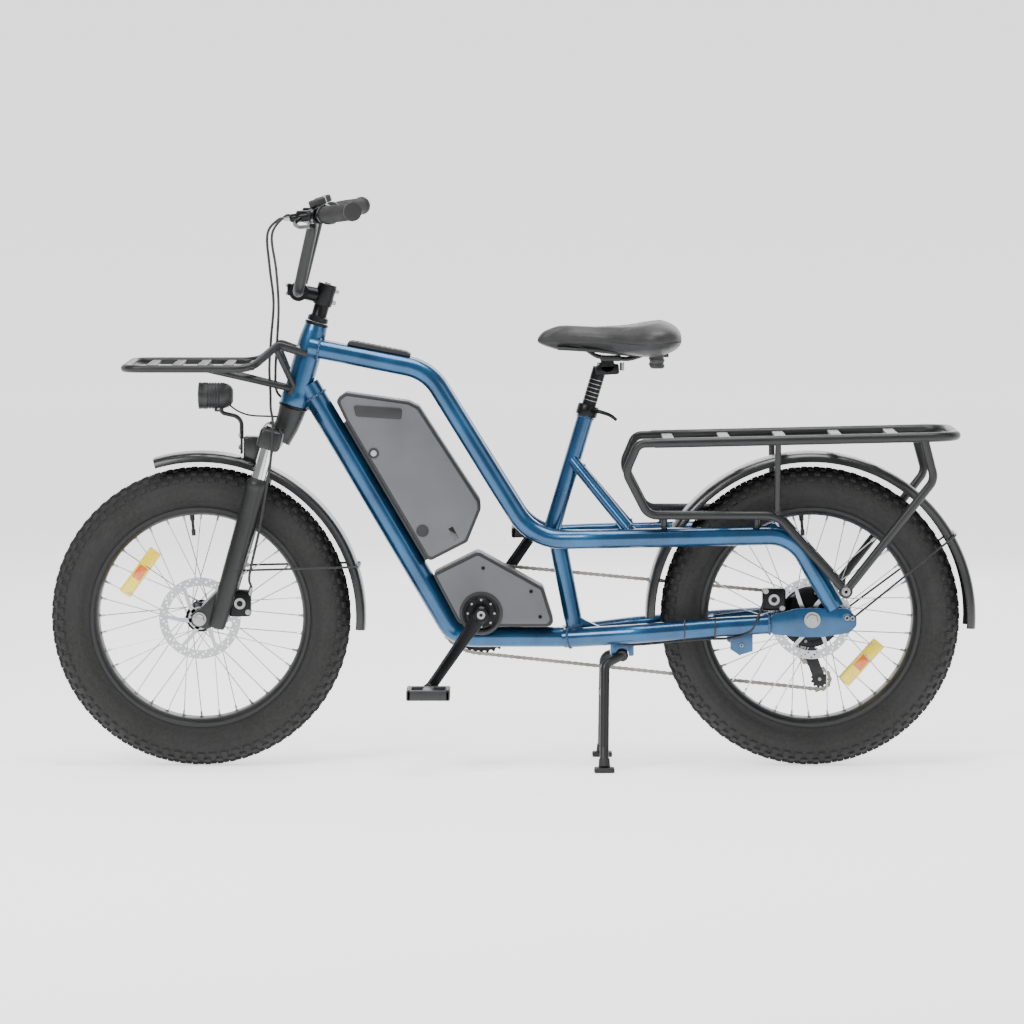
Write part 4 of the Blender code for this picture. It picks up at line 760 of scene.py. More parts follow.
def makeDropouts():
    inner = frameTubes["dropoutInner"]
    outer = inner + frameTubes["dropoutWall"]
    outline = [rear(-0.0825, -0.028), rear(-0.0825, 0.009), rear(-0.03, 0.0225), rear(0.07, 0.0225),
               rear(0.087, 0.005), rear(0.087, -0.012), rear(0.072, -0.026), rear(0.02, -0.034),
               rear(-0.02, -0.034)]
    closedLoop = outline + outline[:2]
    curved = rounded(closedLoop, [0.01] * 9, 5)[1:-1]
    for word, side in sides.items():
        shape = bmesh.new()
        plate(shape, curved, min(side * inner, side * outer), max(side * inner, side * outer), 0.0012)
        sweep(shape, [rear(0.068, 0.004, side * inner), rear(0.068, 0.004, side * (outer + 0.0015))], 0.009,
              28)
        addPiece(f"{word}Dropout", shape, "metallicBlueLacquer", "frame", f"{word}_dropout")
    nuts = bmesh.new()
    for side in sides.values():
        hexBolt(nuts, rear(0, 0, side * outer), across * side, 0.022, 0.01)
        sweep(nuts, [rear(0, 0, side * outer), rear(0, 0, side * (outer + 0.016))], 0.0055, 20)
        socketBolt(nuts, rear(0.068, 0.004, side * (outer + 0.0015)), across * side, 0.01, 0.004)
        socketBolt(nuts, rear(-0.138, -0.05, side * 0.0915), across * side, 0.008, 0.003)
    addPiece("rearAxleNuts", nuts, "zincPlatedSteel", "frame", "rear_axle")


def makeBrackets():
    shell = bmesh.new()
    radius, half = 0.0307, 0.052
    profile = [(0.01, -half), (radius - 0.004, -half), (radius, -half + 0.003), (radius, half - 0.01),
               (radius - 0.005, half - 0.006), (0.01, half - 0.006)]
    spin(shell, profile, crankAxle, 56)
    addPiece("bottomBracket", shell, "blackAnodisedAluminium", "frame", "bottom_bracket")
    notch = bmesh.new()
    sweep(notch, [Vector((0.0262, y, 0)) for y in (-half - 0.001, -half + 0.004)], 0.0022, 10)
    ring = ringPiece("bottomBracketNotches", makePiece("notch", notch, "zincPlatedSteel"), 8, crankAxle,
                     "zincPlatedSteel")
    settle(ring, "frame", "black_metal")

    pivot = Vector((crankAxle.x + 0.277, 0, 0.222))
    bracket = bmesh.new()
    roundBlock(bracket, pivot + Vector((0, 0, 0.016)), (0.046, 0.11, 0.036), 0.003)
    body = makePiece("standBracket", bracket, "metallicBlueLacquer")
    channel = bmesh.new()
    sweep(channel, [pivot - across * 0.08, pivot + across * 0.08], 0.0135, 32)
    cutWith(body, makePiece("channel", channel, "metallicBlueLacquer"))
    mouth = bmesh.new()
    roundBlock(mouth, pivot - Vector((0, 0, 0.02)), (0.0262, 0.16, 0.04), 0)
    cutWith(body, makePiece("mouth", mouth, "metallicBlueLacquer"))
    body.data.set_sharp_from_angle(angle=math.radians(35))
    settle(body, "frame", "blue_paint", "stand_bracket")
    bolts = bmesh.new()
    for y in (-0.04, 0.04):
        for x in (-0.016, 0.016):
            hexBolt(bolts, pivot + Vector((x, y, 0.034)), upward, 0.01, 0.005)
    addPiece("standBracketBolts", bolts, "zincPlatedSteel", "frame")


makeHeadTube()
makeMainTubes()
makeMiddleTubes()
makeDropouts()
makeBrackets()
print("frame tubes ready")


# Battery, motor cover and the strip on the main tubes

batteryLook = {"half": 0.045, "edge": 0.006}


def offDownTube(u, v):
    route = downRoute()
    along = (route[1] - route[0]).normalized()
    return route[0] + u * along + v * Vector((-along.z, 0, along.x))


def roundedLoop(points, radius, steps=5):
    loop = points + points[:2]
    return rounded(loop, [radius] * len(points), steps)[1:-1]


def inset(points, amount):
    # the outline moved inwards by the amount
    centre = sum(points, Vector()) / len(points)
    moved = []
    for before, point, after in zip(points[-1:] + points[:-1], points, points[1:] + points[:1]):
        one, two = (point - before).normalized(), (after - point).normalized()
        normal = Vector((-(one + two).z, 0, (one + two).x)).normalized()
        if normal.dot(centre - point) < 0:
            normal = -normal
        opening = max(0.4, abs(normal.dot(Vector((-one.z, 0, one.x)))))
        moved.append(point + normal * amount / opening)
    return moved


def makeBattery():
    outline = [offDownTube(u, v) for u, v in ((0.052, 0.0335), (0.05, 0.058), (0.128, 0.156), (0.147, 0.168),
                                               (0.366, 0.1775), (0.382, 0.17), (0.424, 0.115),
                                               (0.419, 0.0295), (0.1, 0.0295))]
    half = batteryLook["half"]
    edge = bmesh.new()
    plate(edge, roundedLoop(outline, 0.01), -half + 0.004, half - 0.004, 0.004, 4)
    rail = [offDownTube(0.1, 0.0232), offDownTube(0.1, 0.033), offDownTube(0.415, 0.033),
            offDownTube(0.415, 0.0232)]
    plate(edge, rail, -0.019, 0.019, 0.001)
    addPiece("batteryEdge", edge, "grainedBlackNylon", "frame", "battery", slot="grey_case")
    faces = bmesh.new()
    smaller = roundedLoop(inset(outline, batteryLook["edge"]), 0.008)
    for side in sides.values():
        low, high = sorted((side * (half - 0.006), side * half))
        plate(faces, smaller, low, high, 0.0015)
    addPiece("batteryFaces", faces, "mattGreyShell", "frame")
    trim = bmesh.new()
    strip = roundedLoop([offDownTube(0.078, 0.058), offDownTube(0.132, 0.138), offDownTube(0.15, 0.126),
                         offDownTube(0.1, 0.052)], 0.005)
    for side in sides.values():
        low, high = sorted((side * (half - 0.001), side * (half + 0.0022)))
        plate(trim, strip, low, high, 0.001)
    lockAt = offDownTube(0.18, 0.045)
    for side in sides.values():
        sweep(trim, [lockAt + across * side * (half - 0.001), lockAt + across * side * (half + 0.0025)],
              [0.0105, 0.0095], 32)
        cover = offDownTube(0.36, 0.05)
        sweep(trim, [cover + across * side * (half - 0.001), cover + across * side * (half + 0.0018)],
              [0.0125, 0.0115], 32)
    addPiece("batteryHandleAndCaps", trim, "grainedBlackNylon", "frame", slot="grey_case")
    lock = bmesh.new()
    sweep(lock, [lockAt - across * (half + 0.002), lockAt - across * (half + 0.0034)], [0.0062, 0.0058], 28)
    roundBlock(lock, lockAt - across * (half + 0.0034), (0.0012, 0.0008, 0.006), 0)
    addPiece("batteryLock", lock, "brushedStainless", "frame")
    gauge = bmesh.new()
    low = offDownTube(0.395, 0.1)
    roundBlock(gauge, low - across * (half + 0.0002), (0.01, 0.0012, 0.026), 0.0005, math.radians(-28))
    addPiece("batteryGaugeWindow", gauge, "smokedGlass", "frame", slot="grey_case")


def makeDriveCover():
    outline = [offDownTube(0.448, 0.0235), offDownTube(0.444, 0.029), middle(-0.006, 0.13),
               middle(0.122, 0.059), middle(0.146, -0.018), middle(-0.02, -0.018), middle(-0.045, -0.01)]
    half = 0.048
    shape = bmesh.new()
    plate(shape, roundedLoop(outline, 0.012), -half + 0.004, half - 0.004, 0.004, 4)
    addPiece("driveCoverEdge", shape, "grainedBlackNylon", "frame", "drive_cover", slot="grey_case")
    faces = bmesh.new()
    inner = inset(outline, 0.006)
    for side in sides.values():
        low, high = sorted((side * (half - 0.006), side * half))
        plate(faces, roundedLoop(inner, 0.009), low, high, 0.0015)
    body = makePiece("driveCoverFaces", faces, "mattGreyShell")
    well = bmesh.new()
    sweep(well, [crankAxle - across * 0.08, crankAxle + across * 0.08], 0.0365, 48)
    cutWith(body, makePiece("well", well, "mattGreyShell"))
    body.data.set_sharp_from_angle(angle=math.radians(35))
    settle(body, "frame", "grey_case")
    boss = bmesh.new()
    for side in sides.values():
        ring = [(0.0325, side * (half - 0.006)), (0.0435, side * (half - 0.004)),
                (0.042, side * (half + 0.0022)), (0.0375, side * (half + 0.0032)),
                (0.0335, side * (half + 0.001))]
        spin(boss, ring, crankAxle, 64)
        for dx, dz in ((0.004, 0.098), (0.098, 0.052), (0.116, 0.002)):
            at = middle(dx, dz, side * half)
            socketBolt(boss, at - across * side * 0.001, across * side, 0.008, 0.0022)
    addPiece("driveCoverBoss", boss, "grainedBlackNylon", "frame", slot="grey_case")


def makeTopPad():
    route = mainRoute(1)
    along = (route[1] - route[0]).normalized()
    along = Vector((along.x, 0, along.z)).normalized()
    over = Vector((-along.z, 0, along.x))
    start = Vector((route[0].x, 0, route[0].z))
    low = 0.0193
    outline = [start + along * u + over * v for u, v in ((0.072, low), (0.074, low + 0.006),
                                                         (0.082, low + 0.009), (0.19, low + 0.009),
                                                         (0.198, low + 0.006), (0.2, low))]
    shape = bmesh.new()
    plate(shape, roundedLoop(outline, 0.004), -0.032, 0.032, 0.0028, 5)
    addPiece("topTubePad", shape, "gripRubber", "frame", "top_tube_pad")
    ribs = bmesh.new()
    for step in range(9):
        at = start + along * (0.092 + step * 0.0108) + over * (low + 0.009)
        sweep(ribs, [at - across * 0.026, at + across * 0.026], 0.0012, 10)
    addPiece("topTubePadRibs", ribs, "gripRubber", "frame")


makeBattery()
makeDriveCover()
makeTopPad()
print("battery and covers ready")


# Saddle

saddleLook = {
    "stations": [(0.106, 0.014, 0.548, 0.536), (0.118, 0.023, 0.562, 0.531), (0.145, 0.03, 0.569, 0.528),
                 (0.195, 0.04, 0.57, 0.529), (0.245, 0.058, 0.569, 0.527), (0.288, 0.088, 0.571, 0.519),
                 (0.33, 0.112, 0.578, 0.514), (0.362, 0.112, 0.58, 0.516), (0.384, 0.095, 0.573, 0.524),
                 (0.396, 0.07, 0.559, 0.534)],
    "shrink": 0.003, "voxel": 0.0045, "pressure": 4.0, "mostSwell": 0.006, "frames": 20,
    "channelDepth": 0.0045, "channelHalf": 0.013,
}


def saddleShape(name, shrink):
    wide = smoothRoute([Vector((dx, half, 0)) for dx, half, _, _ in saddleLook["stations"]], 4)
    deep = smoothRoute([Vector((dx, top, low)) for dx, _, top, low in saddleLook["stations"]], 4)
    bm = bmesh.new()
    rings = []
    for one, two in zip(wide, deep):
        ring = []
        for step in range(48):
            angle = turn * step / 48
            side, lift = math.cos(angle), math.sin(angle)
            y = math.copysign(abs(side) ** 0.75, side) * max(one.y - shrink, 0.004)
            half = max((two.y - two.z) / 2 - shrink, 0.003)
            z = (two.y + two.z) / 2 + math.copysign(abs(lift) ** 0.8, lift) * half
            ring.append(bm.verts.new(middle(one.x, z, y)))
        rings.append(ring)
    bridge(bm, rings)
    return makePiece(name, bm, "pebbledVinyl", 180)


def inflate(piece, look):
    # foam pushes the cover out; no point may travel further than the cap
    before = [v.co.copy() for v in piece.data.vertices]
    cloth = piece.modifiers.new("cover", "CLOTH")
    cloth.settings.quality = 5
    cloth.settings.use_pressure = True
    cloth.settings.uniform_pressure_force = look["pressure"]
    cloth.settings.effector_weights.gravity = 0
    cloth.point_cache.frame_start = 1
    cloth.point_cache.frame_end = look["frames"]
    for step in range(1, look["frames"] + 1):
        bpy.context.scene.frame_set(step)
    bakeMesh(piece)
    for vertex, start in zip(piece.data.vertices, before):
        move = vertex.co - start
        if move.length > look["mostSwell"]:
            vertex.co = start + move.normalized() * look["mostSwell"]
    bpy.context.scene.frame_set(1)


def makeSaddle():
    look = saddleLook
    cover = saddleShape("saddleCover", look["shrink"])
    remesh = cover.modifiers.new("remesh", "REMESH")
    remesh.mode = "VOXEL"
    remesh.voxel_size = look["voxel"]
    remesh.use_smooth_shade = True
    bakeMesh(cover)
    inflate(cover, look)
    smoothing = cover.modifiers.new("finer", "SUBSURF")
    smoothing.levels = smoothing.render_levels = 1
    bakeMesh(cover)
    for vertex in cover.data.vertices:
        dx = vertex.co.x - crankAxle.x
        if vertex.co.z < middle(0, 0.552).z:
            continue
        window = max(0.0, min(1.0, (dx - 0.17) / 0.05)) * max(0.0, min(1.0, (0.39 - dx) / 0.03))
        vertex.co.z -= look["channelDepth"] * window * math.exp(-((vertex.co.y / look["channelHalf"]) ** 2))
    cover.data.materials.clear()
    cover.data.materials.append(finish["pebbledVinyl"])
    cover.data.shade_smooth()
    settle(cover, "frame", "saddle_cover", "saddle")

    edge = smoothRoute([Vector((dx, half, low + 0.32 * (top - low)))
                        for dx, half, top, low in look["stations"]], 5)
    one = [middle(p.x, p.z, p.y) for p in edge]
    loop = one + [Vector((p.x, -p.y, p.z)) for p in reversed(one)]
    snapped = []
    for point in loop:
        found, nearest, _, _ = cover.closest_point_on_mesh(point)
        snapped.append(nearest if found else point)
    piping = bmesh.new()
    sweep(piping, snapped, 0.0013, 8, closed=True)
    addPiece("saddlePiping", piping, "gripRubber", "frame", slot="saddle_cover")

    pan = bmesh.new()
    under = [middle(0.15, 0.531), middle(0.22, 0.528), middle(0.3, 0.519), middle(0.368, 0.518),
             middle(0.368, 0.511), middle(0.3, 0.512), middle(0.22, 0.521), middle(0.15, 0.525)]
    plate(pan, under, -0.028, 0.028, 0.002)
    addPiece("saddlePan", pan, "grainedBlackNylon", "frame", slot="saddle_cover")
    springs = bmesh.new()
    for side in sides.values():
        foot = middle(0.345, 0.49, side * 0.043)
        stops = [(0.0, 0.012), (0.004, 0.015), (0.01, 0.0125), (0.016, 0.015), (0.022, 0.0125), (0.03, 0.014)]
        turned(springs, stops, lambda lift: foot + upward * lift, 28)
    addPiece("saddleElastomers", springs, "greyElastomer", "frame")


def makeSeatPost():
    top = seatLine(frameTubes["seatTop"])
    up = (seatLine(1.0) - top).normalized()
    post = bmesh.new()
    sweep(post, [top - up * 0.01, seatLine(0.49)], 0.014, 32)
    roundBlock(post, middle(0.248, 0.486), (0.046, 0.04, 0.02), 0.004, math.radians(-4))
    sweep(post, [middle(0.248, 0.496, -0.02), middle(0.248, 0.496, 0.02)], 0.014, 28)
    addPiece("seatPost", post, "blackAnodisedAluminium", "frame", "seat_post")
    clamp = bmesh.new()
    ring = [top - up * 0.001, top + up * 0.002, top + up * 0.018, top + up * 0.021]
    sweep(clamp, ring, [0.02, 0.0212, 0.0212, 0.0195], 36)
    rod(clamp, top + up * 0.01 + Vector((0.014, -0.02, 0)), top + up * 0.01 + Vector((0.014, 0.022, 0)),
        0.006)
    lever = smoothRoute([top + up * 0.01 + Vector((0.014, -0.022, 0)),
                         top + up * 0.009 + Vector((0.024, -0.033, 0)),
                         top + up * 0.002 + Vector((0.046, -0.036, 0)),
                         top - up * 0.008 + Vector((0.062, -0.034, 0))])
    sweep(clamp, lever, [0.0046 - 0.0014 * i / len(lever) for i in range(len(lever))], 16)
    addPiece("seatClamp", clamp, "blackAnodisedAluminium", "frame")
    marks = bmesh.new()
    for step in range(6):
        at = seatLine(0.425 + step * 0.008)
        sweep(marks, [at, at + up * 0.0008], 0.01412, 32)
    addPiece("seatPostMarks", marks, "brushedStainless", "frame")
    rails = bmesh.new()
    for side in sides.values():
        y = side * 0.022
        route = rounded([middle(0.15, 0.536, y * 0.5), middle(0.196, 0.533, y * 0.9), middle(0.226, 0.512, y),
                         middle(0.29, 0.506, y), middle(0.338, 0.522, y * 1.4),
                         middle(0.356, 0.524, y * 1.7)], [0.05, 0.03, 0.05, 0.03])
        sweep(rails, route, 0.0036, 16)
    roundBlock(rails, middle(0.2545, 0.5085), (0.042, 0.062, 0.01), 0.003)
    addPiece("saddleRails", rails, "satinBlackPowderCoat", "frame", "saddle_rails")
    bolts = bmesh.new()
    for dx in (0.232, 0.277):
        socketBolt(bolts, middle(dx, 0.5), -upward, 0.009, 0.016)
    addPiece("saddleClampBolts", bolts, "zincPlatedSteel", "frame")


makeSaddle()
makeSeatPost()
print("saddle ready")


# Racks

rackLook = {"tube": 0.0095, "half": 0.14, "deckLift": 0.352, "frontTube": 0.0075,
            "frontHalf": 0.17}


def makeRearRack():
    lift, half = rackLook["deckLift"], rackLook["half"]
    left = [rear(-0.31, lift - 0.003, -half), rear(0.279, lift + 0.01, -half)]
    points = left + [Vector((p.x, -p.y, p.z)) for p in reversed(left)]
    deck = bmesh.new()
    sweep(deck, rounded(points, [0.05, 0.05], 12), rackLook["tube"], 24)
    for dx in (-0.28, -0.17, -0.06, 0.05, 0.16):
        height = lift + (dx + 0.31) / 0.584 * 0.013 - 0.003
        roundBlock(deck, rear(dx, height), (0.022, 2 * half, 0.006), 0.0018, math.radians(-1.3))
    addPiece("rearRackDeck", deck, "satinBlackPowderCoat", "frame", "rear_rack_deck")
    welds = bmesh.new()
    bolts = bmesh.new()
    for word, side in sides.items():
        shape = bmesh.new()
        foot = rear(0.064, 0.058, side * 0.1165)
        points = [rear(-0.306, lift - 0.003, side * half), rear(-0.342, lift - 0.004, side * half),
                  rear(-0.366, lift - 0.06, side * (half - 0.01)), rear(-0.322, 0.206, side * 0.107),
                  rear(-0.07, 0.206, side * 0.107), foot]
        sweep(shape, rounded(points, [0.02, 0.035, 0.03, 0.05]), 0.0085, 20)
        sweep(shape, [rear(-0.07, 0.206, side * 0.107), rear(-0.07, lift - 0.004, side * half)], 0.006, 18)
        brace = rounded([rear(0.214, lift + 0.004, side * half), rear(0.235, 0.2775, side * 0.128), foot],
                        [0.03])
        sweep(shape, brace, 0.0085, 20)
        rod(shape, foot - across * 0.0085, foot + across * 0.0085, 0.0135, 28)
        for dx in (-0.29, -0.11):
            sweep(shape, [rear(dx, 0.204, side * 0.107), rear(dx, 0.176, side * 0.089)], 0.006, 16)
        addPiece(f"{word}RearRackSide", shape, "satinBlackPowderCoat", "frame", f"{word}_rear_rack_side")
        weldRing(welds, rear(-0.07, 0.213, side * 0.108), Vector((0, side * 0.2, 1)), 0.0064, 0.0016, 14)
        for dx in (-0.29, -0.11):
            weldRing(welds, rear(dx, 0.185, side * 0.0945), Vector((0, side * 0.54, 1)), 0.0064, 0.0016, 14)
        for dx in (-0.28, -0.17, -0.06, 0.05, 0.16):
            height = lift + (dx + 0.31) / 0.584 * 0.013 - 0.003
            for shift in (-0.006, 0.006):
                at = rear(dx + shift, height - 0.003, side * (half - 0.0105))
                sweep(welds, [at, at + upward * 0.006], 0.0022, 8)
        socketBolt(bolts, foot + across * side * 0.0085, across * side, 0.012, 0.005)
        sweep(bolts, [foot + across * side * 0.008, foot + across * side * 0.0094], 0.0085, 24)
    addPiece("rearRackWelds", welds, "satinBlackPowderCoat", "frame")
    addPiece("rearRackBolts", bolts, "zincPlatedSteel", "frame")


def makeFrontRack():
    rise, half = steering["rise"], rackLook["frontHalf"]
    left = [front(0.208, rise + 0.023, -0.034), front(0.155, rise + 0.041, -0.062), front(0.106, rise, -half),
            front(-0.14, rise, -half)]
    points = left + mirrored(left)[::-1]
    rack = bmesh.new()
    sweep(rack, rounded(points, [0.02, 0.045, 0.035, 0.035, 0.045, 0.02]), rackLook["frontTube"], 20)
    for dx in (-0.095, -0.045, 0.005, 0.055, 0.104):
        roundBlock(rack, front(dx, rise), (0.018, 2 * half, 0.006), 0.0018)
    for side in sides.values():
        sweep(rack, [front(0.000, rise - 0.003, side * 0.055), front(0.186, rise - 0.048, side * 0.019)],
              0.006, 18)
        sweep(rack, [front(0.15, rise + 0.037, side * 0.066), front(0.186, rise - 0.045, side * 0.02)], 0.006,
              18)
    roundBlock(rack, front(0.1815, rise - 0.046), (0.01, 0.056, 0.028), 0.003, steering["tilt"])
    addPiece("frontRack", rack, "satinBlackPowderCoat", "frame", "front_rack")
    bolts = bmesh.new()
    for y in (-0.02, 0.02):
        socketBolt(bolts, front(0.1765, rise - 0.0445, y), steer(0, 1) - steer(0), 0.01, 0.005)
        socketBolt(bolts, front(0.196, rise + 0.029, y * 1.95), Vector((-0.3, 0, 1)), 0.009, 0.01)
    addPiece("frontRackBolts", bolts, "zincPlatedSteel", "frame")


makeRearRack()
makeFrontRack()
print("racks ready")


# Wheels

tyreLook = {
    "radius": 0.295, "seat": 0.2165, "halfWidth": 0.048, "skin": 0.0042, "rows": 74,
    # each knob is (degrees from the side, length round the wheel, width over the section, height)
    "rowA": [(90, 0.0135, 0.02, 0.0046), (129, 0.013, 0.012, 0.0044), (51, 0.013, 0.012, 0.0044)],
    "rowB": [(72, 0.0125, 0.0115, 0.0046), (108, 0.0125, 0.0115, 0.0046), (150, 0.015, 0.01, 0.0038),
             (30, 0.015, 0.01, 0.0038)],
}
wheelLook = {"rimOuter": 0.2165, "rimInner": 0.201, "rimWidth": 0.08, "spokes": 36, "spoke": 0.001,
             "nipple": 0.0023, "nippleLength": 0.013}


def carcassPoint(degrees, lift=0.0):
    look = tyreLook
    centre = (look["radius"] + look["seat"]) / 2 - 0.004
    reach, half = look["radius"] - centre - look["skin"], look["halfWidth"] - look["skin"] * 0.6
    angle = math.radians(degrees)
    spot = Vector((centre + reach * math.sin(angle), half * math.cos(angle), 0))
    outwardWay = Vector((half * math.sin(angle), reach * math.cos(angle), 0)).normalized()
    return spot + outwardWay * lift, outwardWay


def makeKnobRow(name, knobs):
    row = bmesh.new()
    for degrees, length, width, height in knobs:
        base, outwardWay = carcassPoint(degrees, height / 2 - 0.0012)
        part = bmesh.new()
        bmesh.ops.create_cube(part, size=1)
        bmesh.ops.scale(part, verts=part.verts, vec=(height + 0.0012, width, length))
        top = [v for v in part.verts if v.co.x > 0]
        bmesh.ops.scale(part, verts=top, vec=(1, 0.8, 0.84))
        bmesh.ops.bevel(part, geom=list(part.edges), offset=0.0007, segments=1, affect="EDGES")
        lean = math.atan2(outwardWay.y, outwardWay.x)
        part.transform(Matrix.Translation(base) @ Matrix.Rotation(lean, 4, "Z"))
        addMesh(row, part)
    return makePiece(name, row, "tyreRubber", 30)


def makeTyre(word, centre, body):
    look = tyreLook
    bead = wheelLook["rimOuter"] - 0.007
    inner = wheelLook["rimWidth"] / 2 - 0.004
    outer = []
    for step in range(49):
        degrees = 218 - 256 * step / 48
        spot, _ = carcassPoint(degrees)
        radial, along = spot.x, spot.y
        if any(abs(degrees - rib) < 2.7 for rib in (178, 196, 2, -16)):
            along *= 1.018
        outer.append((radial, along))
    profile = [(bead, -inner), (look["seat"] + 0.001, -inner)] + outer
    profile += [(look["seat"] + 0.001, inner), (bead, inner)]
    shell = bmesh.new()
    spin(shell, profile, centre, 144)
    carcass = makePiece(f"{word}Carcass", shell, "tyreRubber", 50)
    step = turn / look["rows"]
    rowA = ringPiece("rowsA", makeKnobRow("knobsA", look["rowA"]), look["rows"], centre, "tyreRubber")
    rowB = ringPiece("rowsB", makeKnobRow("knobsB", look["rowB"]), look["rows"], centre, "tyreRubber",
                     step / 2)
    tyre = join(f"{word}Tyre", carcass, rowA, rowB)
    settle(tyre, body, "tyre_rubber", f"{word}_tyre")


def makeRim(word, centre, body):
    look = wheelLook
    half, outer, inner = look["rimWidth"] / 2, look["rimOuter"], look["rimInner"]
    profile = [(inner + 0.001, -half * 0.66), (inner, -half * 0.6), (inner, half * 0.6),
               (inner + 0.001, half * 0.66), (outer - 0.01, half * 0.92), (outer - 0.006, half),
               (outer, half), (outer + 0.0008, half - 0.0012), (outer, half - 0.003),
               (outer - 0.0085, half - 0.0036), (outer - 0.0095, 0.006), (outer - 0.0125, 0.0),
               (outer - 0.0095, -0.006), (outer - 0.0085, 0.0036 - half), (outer, 0.003 - half),
               (outer + 0.0008, 0.0012 - half), (outer, -half), (outer - 0.006, -half),
               (outer - 0.01, -half * 0.92)]
    shape = bmesh.new()
    spin(shape, profile, centre, 144)
    addPiece(f"{word}Rim", shape, "satinBlackPowderCoat", body, f"{word}_rim", sharp=28)
    eyelet = bmesh.new()
    spin(eyelet, [(0.003, -0.001), (0.0036, 0.0002), (0.0036, 0.0012), (0.0024, 0.0012), (0.0024, -0.001)],
         Vector((inner - 0.0004, 0, 0)), 12, axis=Vector((-1, 0, 0)))
    ring = ringPiece(f"{word}RimEyelets", makePiece("eyelet", eyelet, "zincPlatedSteel"), look["spokes"],
                     centre, "zincPlatedSteel")
    settle(ring, body, "steel")
    valve = bmesh.new()
    at = centre + Vector((math.cos(1.66), 0, math.sin(1.66))) * inner
    inwardWay = (centre - at).normalized()
    sweep(valve, [at - inwardWay * 0.002, at + inwardWay * 0.012, at + inwardWay * 0.0125,
                  at + inwardWay * 0.034], [0.005, 0.0046, 0.003, 0.003], 16)
    sweep(valve, [at + inwardWay * 0.03, at + inwardWay * 0.042], [0.0044, 0.004], 12)
    addPiece(f"{word}Valve", valve, "gripRubber", body, slot="tyre_rubber")


def makeSpokes(word, centre, body, flange, flangeY, lead):
    look = wheelLook
    sets = []
    for index, (side, way) in enumerate(((-1, 1), (1, 1), (-1, -1), (1, -1))):
        rimAngle = turn * index / look["spokes"]
        hubAngle = rimAngle + way * lead
        start = Vector((math.cos(hubAngle), 0, math.sin(hubAngle))) * (flange - 0.004)
        start += across * (side * (flangeY + way * 0.0015))
        finishAt = Vector((math.cos(rimAngle), 0, math.sin(rimAngle))) * (look["rimInner"] + 0.002)
        finishAt += across * side * 0.005
        run = (finishAt - start).normalized()
        shape = bmesh.new()
        sweep(shape, [start - across * way * side * 0.003, start, start + run * 0.003, finishAt],
              look["spoke"], 8)
        sweep(shape, [start - across * way * side * 0.0036, start - across * way * side * 0.0022], 0.0021, 8)
        low = finishAt - run * look["nippleLength"]
        sweep(shape, [low, low + run * 0.002, finishAt], [0.0016, look["nipple"], look["nipple"]], 8)
        pattern = makePiece("spoke", shape, "brushedStainless")
        sets.append(ringPiece("spokes", pattern, look["spokes"] // 4, centre, "brushedStainless"))
    settle(join(f"{word}Spokes", *sets), body, "steel")


def makeHubs():
    half, flange = 0.05, 0.029
    right = [(0.015, 0.0), (0.015, 0.02), (0.0175, 0.0265), (flange - 0.001, 0.0293), (flange, 0.0302),
             (flange, 0.033), (flange - 0.001, 0.0338), (0.0165, 0.037), (0.015, 0.044),
             (0.015, half - 0.001), (0.014, half), (0.0063, half)]
    profile = [(r, -y) for r, y in reversed(right)] + right[1:]
    shape = bmesh.new()
    spin(shape, profile, frontAxle, 72)
    addPiece("frontHub", shape, "blackAnodisedAluminium", "front_wheel", "front_hub", sharp=25)
    makeSpokes("front", frontAxle, "front_wheel", flange, 0.0315, math.radians(56))

    half, shell = 0.034, 0.06
    profile = [(0.0063, -half - 0.02), (0.019, -half - 0.02), (0.02, -half - 0.019), (0.024, -half - 0.004),
               (0.044, -half - 0.0015), (shell - 0.008, -half + 0.001), (shell - 0.002, -half + 0.0045),
               (shell, -half + 0.0065), (shell, -half + 0.0105), (shell - 0.003, -half + 0.012),
               (shell - 0.003, half - 0.012), (shell, half - 0.0105), (shell, half - 0.0065),
               (shell - 0.002, half - 0.0045), (shell - 0.008, half - 0.001), (0.044, half + 0.0005),
               (0.024, half + 0.001), (0.0063, half + 0.001)]
    motor = bmesh.new()
    spin(motor, profile, rearAxle, 96)
    addPiece("rearHubMotor", motor, "blackAnodisedAluminium", "rear_wheel", "rear_hub_motor", sharp=25)
    bolt = bmesh.new()
    socketBolt(bolt, Vector((0.0485, -half - 0.001, 0)), -across, 0.0058, 0.0024)
    socketBolt(bolt, Vector((0.0485, half + 0.0002, 0)), across, 0.0058, 0.0014)
    ring = ringPiece("motorShellBolts", makePiece("bolt", bolt, "zincPlatedSteel"), 8, rearAxle,
                     "zincPlatedSteel", 0.2)
    settle(ring, "rear_wheel", "steel")
    makeSpokes("rear", rearAxle, "rear_wheel", shell, half - 0.009, math.radians(24))


discLook = {"radius": 0.08, "track": 0.0635, "half": 0.001, "arms": 6, "drillings": 24}


